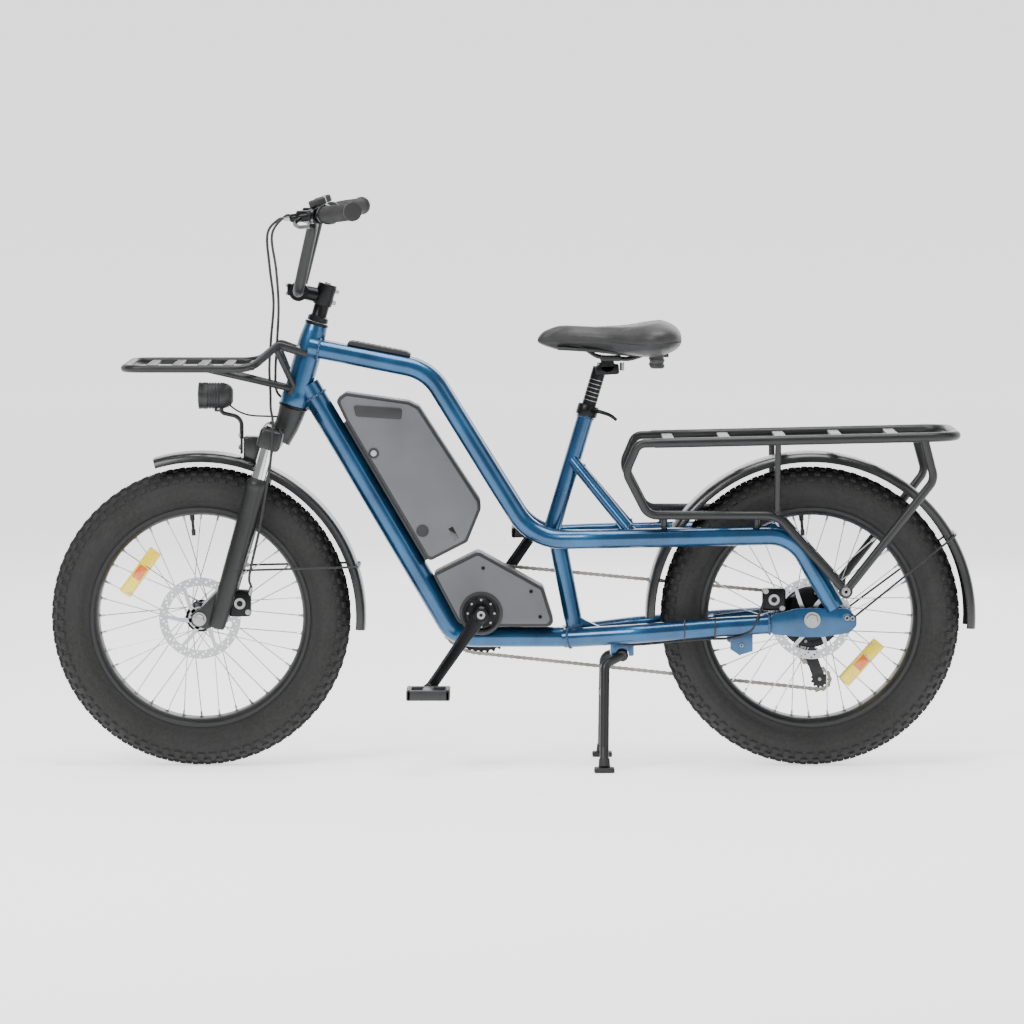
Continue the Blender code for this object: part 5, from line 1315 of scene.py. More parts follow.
def makeDisc(word, centre, body, y, hubFace):
    look = discLook
    blank = bmesh.new()
    spin(blank, [(look["track"], -look["half"]), (look["radius"], -look["half"]),
                 (look["radius"], look["half"]), (look["track"], look["half"])], centre + across * y, 144)
    track = makePiece(f"{word}Track", blank, "brushedStainless")
    drill = bmesh.new()
    for radius, degrees, size in ((0.0765, 0.0, 0.0018), (0.0717, 5.0, 0.002), (0.0672, 10.0, 0.0018)):
        angle = math.radians(degrees)
        at = Vector((radius * math.cos(angle), 0, radius * math.sin(angle)))
        sweep(drill, [at - across * 0.003, at + across * 0.003], size, 12)
    cutter = makePiece("drill", drill, "brushedStainless")
    values = {"Piece": cutter, "Count": look["drillings"], "First Angle": 0.0,
              "Axle": tuple(centre + across * y), "Finish": finish["brushedStainless"]}
    track = runTree(f"{word}Track", "drill", values, [cutter], base=track)
    arm = bmesh.new()
    steps = [(0.015, 0.3), (0.03, 0.16), (0.048, 0.03), (0.065, -0.04)]
    rings = []
    for radius, angle in steps:
        spot = Vector((radius * math.cos(angle), 0, radius * math.sin(angle)))
        sideWay = Vector((-math.sin(angle), 0, math.cos(angle))) * (0.0052 - radius * 0.028)
        rings.append([arm.verts.new(spot + sideWay * a + across * b)
                      for a, b in ((-1, -0.0009), (1, -0.0009), (1, 0.0009), (-1, 0.0009))])
    bridge(arm, rings)
    arms = ringPiece("discArms", makePiece("arm", arm, "brushedStainless"), look["arms"], centre + across * y,
                     "brushedStainless")
    middleRing = bmesh.new()
    spin(middleRing, [(0.014, y - 0.0009), (0.0225, y - 0.0009), (0.0225, y + 0.0009), (0.014, y + 0.0009)],
         centre, 72)
    whole = join(f"{word}BrakeDisc", track, arms, makePiece("inner", middleRing, "brushedStainless"))
    settle(whole, body, "steel", f"{word}_rotor")
    carrier = bmesh.new()
    low, high = sorted((y, hubFace))
    spin(carrier, [(0.0065, low), (0.02, low), (0.018, high), (0.0065, high)], centre, 56)
    addPiece(f"{word}DiscCarrier", carrier, "blackAnodisedAluminium", body)
    bolt = bmesh.new()
    socketBolt(bolt, Vector((0.018, y - 0.0009, 0)), -across, 0.0058, 0.002)
    bolts = ringPiece(f"{word}DiscBolts", makePiece("bolt", bolt, "zincPlatedSteel"), 6, centre,
                      "zincPlatedSteel", 0.3)
    settle(bolts, body, "steel")


def toothed(name, radius, low, high, pitch=0.0127, bore=0.01):
    # a sprocket: a flat disc with a ring of teeth at the chain's pitch
    count = max(11, round(turn * radius / pitch))
    body = bmesh.new()
    spin(body, [(bore, low), (radius - 0.004, low), (radius - 0.004, high), (bore, high)], Vector(), 64)
    tooth = bmesh.new()
    thin = (high - low) * 0.3
    outline = [(radius - 0.005, -0.0046), (radius - 0.003, -0.0034), (radius + 0.0006, -0.001),
               (radius + 0.0006, 0.001), (radius - 0.003, 0.0034), (radius - 0.005, 0.0046)]
    rings = []
    for y in (low + thin, high - thin):
        rings.append([tooth.verts.new((r, y, t)) for r, t in outline])
    bridge(tooth, rings)
    teeth = ringPiece("teeth", makePiece("tooth", tooth, "brushedStainless"), count, Vector(),
                      "brushedStainless")
    return join(name, makePiece("plate", body, "brushedStainless"), teeth)


def moveMesh(piece, shift):
    piece.data.transform(Matrix.Translation(shift))
    return piece


def makeCassette():
    start = 0.034 + 0.0013
    cogs = []
    for index, radius in enumerate((0.0565, 0.0515, 0.047, 0.043, 0.039, 0.034, 0.029)):
        low = start + 0.0038 * index + 0.0006
        cogs.append(toothed(f"cog{index}", radius - 0.0005, low, low + 0.0021))
    core = bmesh.new()
    spin(core, [(0.0063, start), (0.025, start), (0.025, start + 0.0262), (0.0063, start + 0.0262)], Vector(),
         40)
    cogs.append(makePiece("core", core, "blackAnodisedAluminium"))
    settle(moveMesh(join("cassette", *cogs), rearAxle), "rear_wheel", "steel", "cassette")


for word, centre, body in (("front", frontAxle, "front_wheel"), ("rear", rearAxle, "rear_wheel")):
    makeTyre(word, centre, body)
    makeRim(word, centre, body)
makeHubs()
makeDisc("front", frontAxle, "front_wheel", -0.0535, -0.05)
makeDisc("rear", rearAxle, "rear_wheel", -0.0605, -0.054)
makeCassette()
print("wheels ready")


reflectorLook = {"length": 0.105, "height": 0.026, "depth": 0.009}


def makeReflectors():
    for word, centre, body, offset in (("front", frontAxle, "front_wheel", Vector((-0.12, 0, 0.086))),
                                       ("rear", rearAxle, "rear_wheel", Vector((0.102, 0, -0.092)))):
        look = reflectorLook
        outwardWay = offset.normalized()
        tilt = math.atan2(-outwardWay.x, outwardWay.z) * -1
        cases, cores = bmesh.new(), bmesh.new()
        for side in sides.values():
            at = centre + offset + across * side * 0.0085
            roundBlock(cases, at, (look["length"], look["depth"], look["height"]), 0.003, tilt)
            roundBlock(cores, at + across * side * 0.0042, (look["length"] * 0.28, 0.0022,
                                                            look["height"] * 0.72), 0.0009, tilt)
        addPiece(f"{word}SpokeReflector", cases, "amberReflector", body)
        addPiece(f"{word}ReflectorCore", cores, "orangeReflector", body)


makeReflectors()


# Fenders

fenderLook = {"radius": 0.325, "wall": 0.0026, "half": 0.052}


def makeFenders():
    top, wall, half = fenderLook["radius"], fenderLook["wall"], fenderLook["half"]
    outer = [(top - 0.0165, -half), (top - 0.01, -half + 0.0012), (top - 0.005, -half + 0.0045),
             (top - 0.0016, -half + 0.01), (top - 0.0004, -half + 0.017), (top, -half + 0.03)]
    inner = [(r - wall * 0.9, y * (1 - wall / half * 0.9)) for r, y in outer]
    ring = outer + [(r, -y) for r, y in reversed(outer)] + [(r, -y) for r, y in inner] + inner[::-1]
    settings = (("front", frontAxle, "steering", -4.5, 106.5, 64, front(0.088, 0.095), 18, 0.066),
                ("rear", rearAxle, "frame", -4.0, 180.0, 96, rear(0.078, 0.004), 30, 0.1048))
    for word, centre, body, low, high, steps, foot, tipAngle, footHalf in settings:
        shape = bmesh.new()
        spin(shape, ring, centre, steps, low=math.radians(low), high=math.radians(high))
        if word == "front":
            roundBlock(shape, front(0.102, 0.33), (0.034, 0.046, 0.05), 0.004)
        addPiece(f"{word}Fender", shape, "blackPolycarbonate", body, f"{word}_fender", sharp=40)
        wires = bmesh.new()
        angle = math.radians(tipAngle)
        tip = centre + Vector((math.cos(angle), 0, math.sin(angle))) * (top + 0.001)
        loop = [foot - across * footHalf, tip - across * (half + 0.0045), tip + across * (half + 0.0045),
                foot + across * footHalf]
        sweep(wires, rounded(loop, [0.008, 0.008]), 0.0022, 12)
        bolts = bmesh.new()
        for side in sides.values():
            hexBolt(bolts, tip + across * side * 0.03 - (tip - centre).normalized() * 0.0005,
                    tip - centre, 0.008, 0.0035)
            socketBolt(bolts, foot + across * side * (footHalf - 0.003), across * side, 0.009, 0.006)
        addPiece(f"{word}FenderStay", wires, "satinBlackPowderCoat", body)
        addPiece(f"{word}FenderBolts", bolts, "zincPlatedSteel", body)


makeFenders()
print("fenders ready")


# Fork

forkLook = {"crownLow": -0.175, "legLow": -0.54, "spread": 0.08,             "stanchion": 0.015,
            "inner": 0.0675, "plateWall": 0.01}


def makeFork():
    look = forkLook
    ahead = steering["legsAhead"]
    crown = bmesh.new()
    roundBlock(crown, steer(look["crownLow"] + 0.02, ahead), (0.046, 0.204, 0.04), 0.008, steering["tilt"],
               segments=4)
    sweep(crown, [steer(look["crownLow"] + 0.02, 0.01), steer(-0.125, 0.002), steer(-0.104), steer(-0.0895)],
          [0.0245, 0.0242, 0.0255, 0.027], 36)
    for side in sides.values():
        sweep(crown, [steer(-0.15, ahead, side * look["spread"]),
                      steer(-0.1335, ahead, side * look["spread"])], [0.02, 0.0185], 32)
    addPiece("forkCrown", crown, "satinBlackPowderCoat", "steering", "fork_crown")
    caps = bmesh.new()
    for side in sides.values():
        sweep(caps, [steer(-0.1335, ahead, side * look["spread"]),
                     steer(-0.13, ahead, side * look["spread"])], [0.015, 0.0135], 32)
    addPiece("forkCrownCaps", caps, "blackAnodisedAluminium", "steering")
    for word, side in sides.items():
        y = side * look["spread"]
        leg = bmesh.new()
        stops = [(-0.2405, 0.0165), (-0.241, 0.0205), (-0.243, 0.0216), (-0.252, 0.0216), (-0.256, 0.0205),
                 (-0.26, 0.02), (-0.33, 0.02), (-0.4, 0.0198), (-0.46, 0.0186), (-0.51, 0.0172),
                 (-0.534, 0.016), (-0.5395, 0.014)]
        turned(leg, stops, lambda along: steer(along, ahead, y), 36)
        low, high = sorted((side * look["inner"], side * (look["inner"] + look["plateWall"])))
        outline = [front(-0.016, -0.012), front(-0.016, 0.01), front(0.004, 0.022),
                   steer(-0.455, ahead + 0.01), steer(-0.455, ahead - 0.008),
                   steer(look["legLow"] + 0.012, ahead - 0.008), front(0.014, -0.02)]
        plate(leg, roundedLoop(outline, 0.008), low, high, 0.002)
        for along in (-0.3, -0.42):
            ring = steer(along, ahead, y)
            weldRing(leg, ring, steer(1) - steer(0), 0.0197, 0.0006, 6)
        addPiece(f"{word}ForkLeg", leg, "satinBlackPowderCoat", "steering", f"{word}_fork_leg")
        slider = bmesh.new()
        sweep(slider, [steer(-0.246, ahead, y), steer(look["crownLow"], ahead, y)], look["stanchion"], 40)
        addPiece(f"{word}Stanchion", slider, "hardChrome", "steering")
        wiper = bmesh.new()
        stops = [(-0.242, 0.0185), (-0.239, 0.0182), (-0.237, 0.0166), (-0.2345, 0.0156)]
        turned(wiper, stops, lambda along: steer(along, ahead, y), 32)
        addPiece(f"{word}DustWiper", wiper, "gripRubber", "steering", slot="black_metal")
    nuts = bmesh.new()
    for side in sides.values():
        face = side * (look["inner"] + look["plateWall"])
        hexBolt(nuts, front(0, 0, face), across * side, 0.019, 0.008)
        sweep(nuts, [front(0, 0, face), front(0, 0, face + side * 0.0125)], 0.0045, 20)
        socketBolt(nuts, steer(look["legLow"] + 0.001, ahead, side * look["spread"]), steer(0) - steer(1),
                   0.012, 0.003)
    sweep(nuts, [frontAxle - across * 0.067, frontAxle + across * 0.067], 0.006, 24)
    addPiece("frontAxleAndNuts", nuts, "zincPlatedSteel", "steering", "front_axle")


# Bars, grips, levers, display and lamp

barLook = {"radius": 0.0111, "gripIn": 0.2, "gripOut": 0.335}


def barRoute():
    right = [front(0.252, 0.794, 0.1997), front(0.23, 0.79, 0.15), front(0.2255, 0.77, 0.118),
             front(0.197, 0.65, 0.062), front(0.194, 0.64, 0.04)]
    points = right + mirrored(right)[::-1]
    return rounded(points, [0.04, 0.05, 0.04, 0.03, 0.03, 0.04, 0.05, 0.04], 10)


def makeStem():
    clampAt = front(0.194, 0.64)
    stem = bmesh.new()
    stops = [(0.0885, 0.0198), (0.0895, 0.0206), (0.0975, 0.0206), (0.0985, 0.0195), (0.1005, 0.016),
             (0.1025, 0.0152), (0.1215, 0.0152), (0.1225, 0.0182), (0.124, 0.0188), (0.164, 0.0188),
             (0.1655, 0.0176)]
    turned(stem, stops, steer, 40)
    sweep(stem, [steer(0.14), clampAt - (clampAt - steer(0.14)) * 0.15, clampAt], [0.015, 0.0138, 0.0145], 28)
    profile = [(0.0112, -0.024), (0.018, -0.024), (0.0192, -0.0228), (0.0192, 0.0228), (0.018, 0.024),
               (0.0112, 0.024)]
    spin(stem, profile, clampAt, 48)
    roundBlock(stem, clampAt + Vector((-0.0185, 0, 0.004)), (0.008, 0.046, 0.024), 0.003)
    addPiece("stem", stem, "blackAnodisedAluminium", "steering", "stem")
    bolts = bmesh.new()
    for along in (0.133, 0.156):
        socketBolt(bolts, steer(along, -0.0175), steer(0, -1) - steer(0), 0.009, 0.008)
    for y in (-0.016, 0.016):
        for dz in (-0.004, 0.012):
            socketBolt(bolts, clampAt + Vector((-0.0222, y, dz)), Vector((-1, 0, 0.1)), 0.0065, 0.003)
    socketBolt(bolts, steer(0.1655), steer(1) - steer(0), 0.012, 0.003)
    addPiece("stemBolts", bolts, "zincPlatedSteel", "steering")
    bar = bmesh.new()
    sweep(bar, barRoute(), barLook["radius"], 28)
    addPiece("handlebar", bar, "satinBlackPowderCoat", "steering", "handlebar")
    marks = bmesh.new()
    for side in sides.values():
        for shift in (0.027, 0.03, 0.033):
            at = clampAt + across * side * shift
            sweep(marks, [at, at + across * 0.0006], barLook["radius"] + 0.0001, 28)
    addPiece("handlebarMarks", marks, "brushedStainless", "steering")


def makeGrips():
    for word, side in sides.items():
        inner = front(0.252, 0.794, side * barLook["gripIn"])
        outer = front(0.31, 0.802, side * barLook["gripOut"])
        along = (outer - inner).normalized()
        length = (outer - inner).length
        stops = [(0, 0.0165), (0.001, 0.0175), (0.005, 0.0175), (0.007, 0.016)]
        for step in range(22):
            s = 0.009 + step * (length - 0.022) / 22
            swell = 0.0158 + 0.0012 * math.sin(math.pi * step / 21)
            stops += [(s, swell), (s + 0.0024, swell), (s + 0.0032, swell - 0.0008),
                      (s + 0.0048, swell - 0.0008)]
        stops += [(length - 0.011, 0.0163), (length - 0.006, 0.0182), (length - 0.001, 0.018),
                  (length, 0.0158)]
        shape = bmesh.new()
        turned(shape, stops, lambda s: inner + along * s, 40)
        addPiece(f"{word}Grip", shape, "gripRubber", "steering", f"{word}_grip", slot="soft_rubber", sharp=50)
        collar = bmesh.new()
        sweep(collar, [inner + along * 0.0012, inner + along * 0.0062], [0.018, 0.018], 36)
        socketBolt(collar, inner + along * 0.0037 + Vector((0, 0, -0.0178)), -upward, 0.0045, 0.001)
        addPiece(f"{word}GripCollar", collar, "blackAnodisedAluminium", "steering")


def makeControls():
    for word, side in sides.items():
        perchAt = front(0.238, 0.792, side * 0.172)
        alongBar = Vector((0.42 * side, 1, 0)).normalized()
        body = bmesh.new()
        profile = [(0.0113, -0.009), (0.015, -0.009), (0.0162, -0.0076), (0.0162, 0.0076), (0.015, 0.009),
                   (0.0113, 0.009)]
        spin(body, profile, perchAt, 36, axis=alongBar)
        reservoir = [perchAt + Vector((-0.008, 0, 0.001)), front(0.218, 0.791, side * 0.168),
                     front(0.199, 0.788, side * 0.164), front(0.184, 0.786, side * 0.16)]
        sweep(body, smoothRoute(reservoir, 5), [0.0085] * 4 + [0.01] * 6 + [0.0085] * 5 + [0.007], 20)
        roundBlock(body, front(0.2075, 0.7965, side * 0.166), (0.024, 0.017, 0.009), 0.003)
        blade = smoothRoute([front(0.205, 0.788, side * 0.168), front(0.194, 0.777, side * 0.19),
                             front(0.203, 0.771, side * 0.236), front(0.2175, 0.772, side * 0.268),
                             front(0.231, 0.774, side * 0.298)], 8)
        sweep(body, blade, [0.0052 - 0.0014 * math.sin(math.pi * i / len(blade)) for i in range(len(blade))],
              14)
        sweep(body, [blade[-1] - Vector((0.001, side * 0.001, 0)),
                     blade[-1] + Vector((0.003, side * 0.004, 0))], [0.0058, 0.005], 14)
        addPiece(f"{word}Controls", body, "blackAnodisedAluminium", "steering", f"{word}_controls",
                 slot="black_plastic")
        pins = bmesh.new()
        pin = front(0.2035, 0.787, side * 0.1665)
        rod(pins, pin - upward * 0.0085, pin + upward * 0.0085, 0.0026, 14)
        socketBolt(pins, perchAt - Vector((0.01, 0, 0.0145)), Vector((-0.6, 0, -1)), 0.006, 0.003)
        addPiece(f"{word}LeverPins", pins, "zincPlatedSteel", "steering")
        case = bmesh.new()
        at = front(0.2365, 0.8165, side * 0.146)
        roundBlock(case, at, (0.034, 0.046, 0.015), 0.004, -0.3, segments=4)
        clamp = front(0.2285, 0.79, side * 0.147)
        profile = [(0.0113, -0.007), (0.0148, -0.007), (0.0148, 0.007), (0.0113, 0.007)]
        spin(case, profile, clamp, 32, axis=Vector((0.3 * side, 1, 0.05)).normalized())
        sweep(case, [clamp + upward * 0.01, at], 0.006, 16)
        addPiece(f"{word}ControlCase", case, "grainedBlackNylon", "steering")
        window = bmesh.new()
        if side < 0:
            roundBlock(window, at + Vector((0.0022, 0, 0.0074)), (0.024, 0.036, 0.0012), 0.0005, -0.3)
            addPiece("displayWindow", window, "smokedGlass", "steering")
            keys = bmesh.new()
            for y in (-0.0175, -0.0115, -0.0055):
                roundBlock(keys, clamp + Vector((0.012, y * -1 * side, -0.006)), (0.006, 0.0045, 0.006),
                           0.0014)
            addPiece("displayKeys", keys, "gripRubber", "steering")
        else:
            roundBlock(window, at + Vector((0.0022, 0, 0.0074)), (0.01, 0.03, 0.0012), 0.0005, -0.3)
            addPiece("gearWindow", window, "smokedGlass", "steering")
            paddle = smoothRoute([clamp + Vector((0.004, 0, -0.014)), clamp + Vector((0.018, 0.006, -0.018)),
                                  clamp + Vector((0.03, 0.016, -0.016))], 6)
            thumb = bmesh.new()
            sweep(thumb, paddle, [0.0045 + 0.0012 * i / len(paddle) for i in range(len(paddle))], 14)
            addPiece("gearPaddle", thumb, "grainedBlackNylon", "steering")


def makeHeadlight():
    low, high = front(-0.004, 0.4345), front(0.064, 0.4345)
    axis = (high - low).normalized()
    lamp = bmesh.new()
    stops = [(0.0, 0.024), (0.0006, 0.0262), (0.006, 0.0265), (0.0065, 0.0256), (0.009, 0.0256),
             (0.0095, 0.0264)]
    for step in range(5):
        s = 0.018 + step * 0.0055
        stops += [(s, 0.0264), (s + 0.0006, 0.0248), (s + 0.0026, 0.0248), (s + 0.0032, 0.0262)]
    stops += [(0.05, 0.0255), (0.058, 0.023), (0.064, 0.019), (0.068, 0.013)]
    turned(lamp, stops, lambda s: low + axis * s, 56)
    addPiece("headlight", lamp, "grainedBlackNylon", "steering", "headlight")
    arm = bmesh.new()
    route = rounded([front(0.036, 0.412), front(0.044, 0.4), front(0.0805, 0.392), front(0.0805, 0.35)],
                    [0.01, 0.02])
    sweep(arm, route, 0.0042, 16)
    roundBlock(arm, front(0.0805, 0.345), (0.004, 0.028, 0.05), 0.0015)
    roundBlock(arm, front(0.036, 0.409), (0.018, 0.016, 0.012), 0.003)
    addPiece("headlightArm", arm, "satinBlackPowderCoat", "steering")
    bolts = bmesh.new()
    rod(bolts, front(0.036, 0.409, -0.0115), front(0.036, 0.409, 0.0115), 0.003, 14)
    for dz in (0.333, 0.357):
        hexBolt(bolts, front(0.0785, dz), Vector((-1, 0, 0)), 0.008, 0.003)
    addPiece("headlightBolts", bolts, "zincPlatedSteel", "steering")
    lens = bmesh.new()
    dome = [(-0.0021, 0.004), (-0.002, 0.01), (-0.0014, 0.017), (-0.0006, 0.0215), (0.0008, 0.0232)]
    turned(lens, dome, lambda s: low + axis * s, 48)
    addPiece("headlightLens", lens, "clearAcrylic", "steering")
    lead = smoothRoute([low + axis * 0.06 - upward * 0.018, front(0.074, 0.404, -0.002),
                        front(0.098, 0.396, -0.003), front(0.132, 0.394, -0.002), front(0.16, 0.393)])
    wire = bmesh.new()
    sweep(wire, lead, 0.0018, 12)
    addPiece("headlightLead", wire, "gripRubber", "steering")


makeFork()
makeStem()
makeGrips()
makeControls()
makeHeadlight()
print("steering ready")


# Brakes

def makeCalipers():
    for word, at, discY, size, axle, body in (
        ("front", front(0.079, 0.03), -0.0535, (0.044, 0.036, 0.052), frontAxle, "steering"),
        ("rear", rear(-0.074, 0.038), -0.0605, (0.046, 0.033, 0.044), rearAxle, "frame"),
    ):
        centre = Vector((at.x, discY, at.z))
        shape = bmesh.new()
        roundBlock(shape, centre, size, 0.006, segments=4)
        piece = makePiece(f"{word}Caliper", shape, "blackAnodisedAluminium")
        slotShape = bmesh.new()
        hub = Vector((axle.x, discY, axle.z))
        sweep(slotShape, [hub - across * 0.003, hub + across * 0.003], discLook["radius"] + 0.003, 96)
        cutWith(piece, makePiece("slot", slotShape, "blackAnodisedAluminium"))
        piece.data.set_sharp_from_angle(angle=math.radians(35))
        settle(piece, body, "black_metal", f"{word}_caliper")
        detail = bmesh.new()
        inwardWay = (hub - centre).normalized()
        for side in sides.values():
            face = centre + across * side * size[1] / 2
            spin(detail, [(0.006, -0.001), (0.0115, -0.001), (0.0108, 0.0012), (0.006, 0.0012)], face, 32,
                 axis=across * side)
        for shift in (-0.017, 0.017):
            hexBolt(detail, centre + Vector((shift * 0.95, -size[1] / 2, -shift)), -across, 0.0075, 0.0035)
        addPiece(f"{word}CaliperBolts", detail, "zincPlatedSteel", body)
        pads = bmesh.new()
        for side in sides.values():
            roundBlock(pads, centre + inwardWay * 0.012 + across * side * 0.0021, (0.018, 0.0016, 0.016),
                       0.0004)
        addPiece(f"{word}BrakePads", pads, "oiledChainSteel", body)


hoseLook = {
    "radius": 0.0026,
    "front": [(0.176, 0.785, -0.1585), (0.16, 0.783, -0.152), (0.138, 0.755, -0.125), (0.14, 0.69, -0.08),
              (0.146, 0.62, -0.045), (0.14, 0.55, -0.02), (0.136, 0.49, -0.012), (0.138, 0.44, -0.014),
              (0.14, 0.412, -0.05), (0.146, 0.39, -0.104), (0.145, 0.345, -0.116), (0.139, 0.29, -0.1155),
              (0.12, 0.18, -0.112), (0.1, 0.09, -0.104), (0.102, 0.064, -0.08), (0.098, 0.048, -0.066)],
    "rear": [(0.176, 0.785, 0.1585), (0.16, 0.783, 0.152), (0.136, 0.748, 0.125), (0.146, 0.68, 0.08),
             (0.152, 0.61, 0.045), (0.15, 0.54, 0.02), (0.147, 0.48, 0.01), (0.15, 0.44, 0.02),
             (0.175, 0.42, 0.0365), (0.207, 0.408, 0.0375), (0.234, 0.394, 0.03), (0.256, 0.374, 0.012)],
}


def makeHoses():
    radius = hoseLook["radius"]
    frontRoute = smoothRoute([front(*point) for point in hoseLook["front"]], 8)
    shape = bmesh.new()
    sweep(shape, frontRoute, radius, 14)
    addPiece("frontBrakeHose", shape, "gripRubber", "steering", "front_brake_hose", slot="soft_rubber")
    rearRoute = smoothRoute([front(*point) for point in hoseLook["rear"]], 8)
    hose = bmesh.new()
    sweep(hose, rearRoute, radius, 14)
    rearHose = makePiece("rearBrakeHose", hose, "gripRubber")
    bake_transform(rearHose)
    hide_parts("rear_brake_hose")
    fittings = bmesh.new()
    for side in sides.values():
        sweep(fittings, [front(0.184, 0.786, side * 0.16), front(0.172, 0.7845, side * 0.157)],
              [0.0048, 0.0038], 6)
    sweep(fittings, [front(0.102, 0.064, -0.08), front(0.098, 0.048, -0.066)], [0.0036, 0.0048], 12)
    addPiece("hoseFittings", fittings, "zincPlatedSteel", "steering")
    grommet = bmesh.new()
    entry = front(0.247, 0.3835, 0.019)
    wayIn = (front(0.256, 0.374, 0.012) - entry).normalized()
    sweep(grommet, [entry - wayIn * 0.003, entry - wayIn * 0.001, entry + wayIn * 0.006],
          [0.0042, 0.0062, 0.0062], 24)
    addPiece("hoseGrommet", grommet, "gripRubber", "frame", slot="soft_rubber")
    stayHose = bmesh.new()
    route = smoothRoute([middle(0.235, -0.035, -0.066), middle(0.262, -0.046, -0.072),
                         middle(0.3, -0.05, -0.08), rear(-0.22, -0.0385, -0.088),
                         rear(-0.16, -0.036, -0.0885), rear(-0.122, -0.022, -0.103),
                         rear(-0.104, 0.012, -0.101), rear(-0.095, 0.034, -0.084), rear(-0.09, 0.04, -0.07)])
    sweep(stayHose, route, radius, 12)
    addPiece("stayBrakeHose", stayHose, "gripRubber", "frame", slot="soft_rubber")
    ties = bmesh.new()
    for dx in (-0.25, -0.19):
        at = rear(dx, -0.018, -0.087)
        sweep(ties, [at - Vector((0.0015, 0, 0)), at + Vector((0.0015, 0, 0))], 0.0222, 28)
    addPiece("stayHoseTies", ties, "grainedBlackNylon", "frame")


makeCalipers()
makeHoses()
print("brakes and hoses ready")


# Drive

driveLook = {"chainRing": 0.089, "cog": 0.0364, "pulley": 0.02, "chainY": 0.058, "pitch": 0.0127,
             "guide": (0.004, -0.08), "tension": (0.023, -0.132), "crankLength": 0.178, "crankAngle": 35.0}


def beltRoute(wheels, arcStep=4.0):
    ends = []
    count = len(wheels)
    for index in range(count):
        x1, z1, r1, s1 = wheels[index]
        x2, z2, r2, s2 = wheels[(index + 1) % count]
        away = math.atan2(z2 - z1, x2 - x1) + math.asin((s2 * r2 - s1 * r1) / math.hypot(x2 - x1, z2 - z1))
        left = Vector((-math.sin(away), 0, math.cos(away)))
        ends.append((s1 * left, s2 * left))
    route = []
    for index in range(count):
        x, z, radius, sense = wheels[index]
        arrive, leave = ends[index - 1][1], ends[index][0]
        start = math.atan2(arrive.z, arrive.x)
        arc = (math.atan2(leave.z, leave.x) - start) * -sense % turn
        steps = max(3, round(arc / math.radians(arcStep)))
        for step in range(steps + 1):
            angle = start - sense * arc * step / steps
            route.append(Vector((x, 0, z)) + radius * Vector((math.cos(angle), 0, math.sin(angle))))
    return route


def makeLink(name, reach):
    # one link, centred on its middle: two waisted side plates and a roller at its first pin
    half = driveLook["pitch"] / 2
    link = bmesh.new()
    outline = []
    for centre, first in ((-half, 90), (half, 270)):
        for step in range(7):
            angle = math.radians(first + 30 * step)
            outline.append(Vector((centre + 0.0038 * math.cos(angle), 0, 0.0038 * math.sin(angle))))
        outline.append(Vector((0, 0, -0.0027 if first == 90 else 0.0027)))
    for side in sides.values():
        low, high = sorted((side * reach, side * (reach + 0.0007)))
        plate(link, outline, low, high, 0)
    for radius, long, count in ((0.0036, 0.0022, 10), (0.0017, 0.0039, 8)):
        sweep(link, [Vector((-half, -long, 0)), Vector((-half, long, 0))], radius, count)
    return makePiece(name, link, "oiledChainSteel")


def makeChain():
    look = driveLook
    wheels = [(crankAxle.x, crankAxle.z, look["chainRing"], 1), (rearAxle.x, rearAxle.z, look["cog"], 1),
              (rearAxle.x + look["guide"][0], rearAxle.z + look["guide"][1], look["pulley"], -1),
              (rearAxle.x + look["tension"][0], rearAxle.z + look["tension"][1], look["pulley"], 1)]
    route = [point + across * look["chainY"] for point in beltRoute(wheels)]
    length = sum((b - a).length for a, b in zip(route, route[1:] + route[:1]))
    pairs = round(length / (2 * look["pitch"]))
    lengths = []
    for name, reach, shift in (("outerLinks", 0.0029, 0.0), ("innerLinks", 0.002, length / pairs / 2)):
        start, rest = 0, shift
        while rest > (route[start + 1] - route[start]).length:
            rest -= (route[start + 1] - route[start]).length
            start += 1
        first = route[start].lerp(route[start + 1], rest / (route[start + 1] - route[start]).length)
        loop = [first] + route[start + 1:] + route[:start + 1]
        curve = bpy.data.curves.new(name, "CURVE")
        curve.dimensions = "3D"
        spline = curve.splines.new("POLY")
        spline.points.add(len(loop) - 1)
        for point, place in zip(spline.points, loop):
            point.co = (*place, 1)
        spline.use_cyclic_u = True
        path = bpy.data.objects.new(name, curve)
        bpy.context.scene.collection.objects.link(path)
        values = {"Piece": makeLink("link", reach), "Path": path, "Count": pairs,
                  "Finish": finish["oiledChainSteel"]}
        lengths.append(runTree(name, "path", values, [values["Piece"], path]))
    settle(join("chain", *lengths), "frame", "steel", "chain")


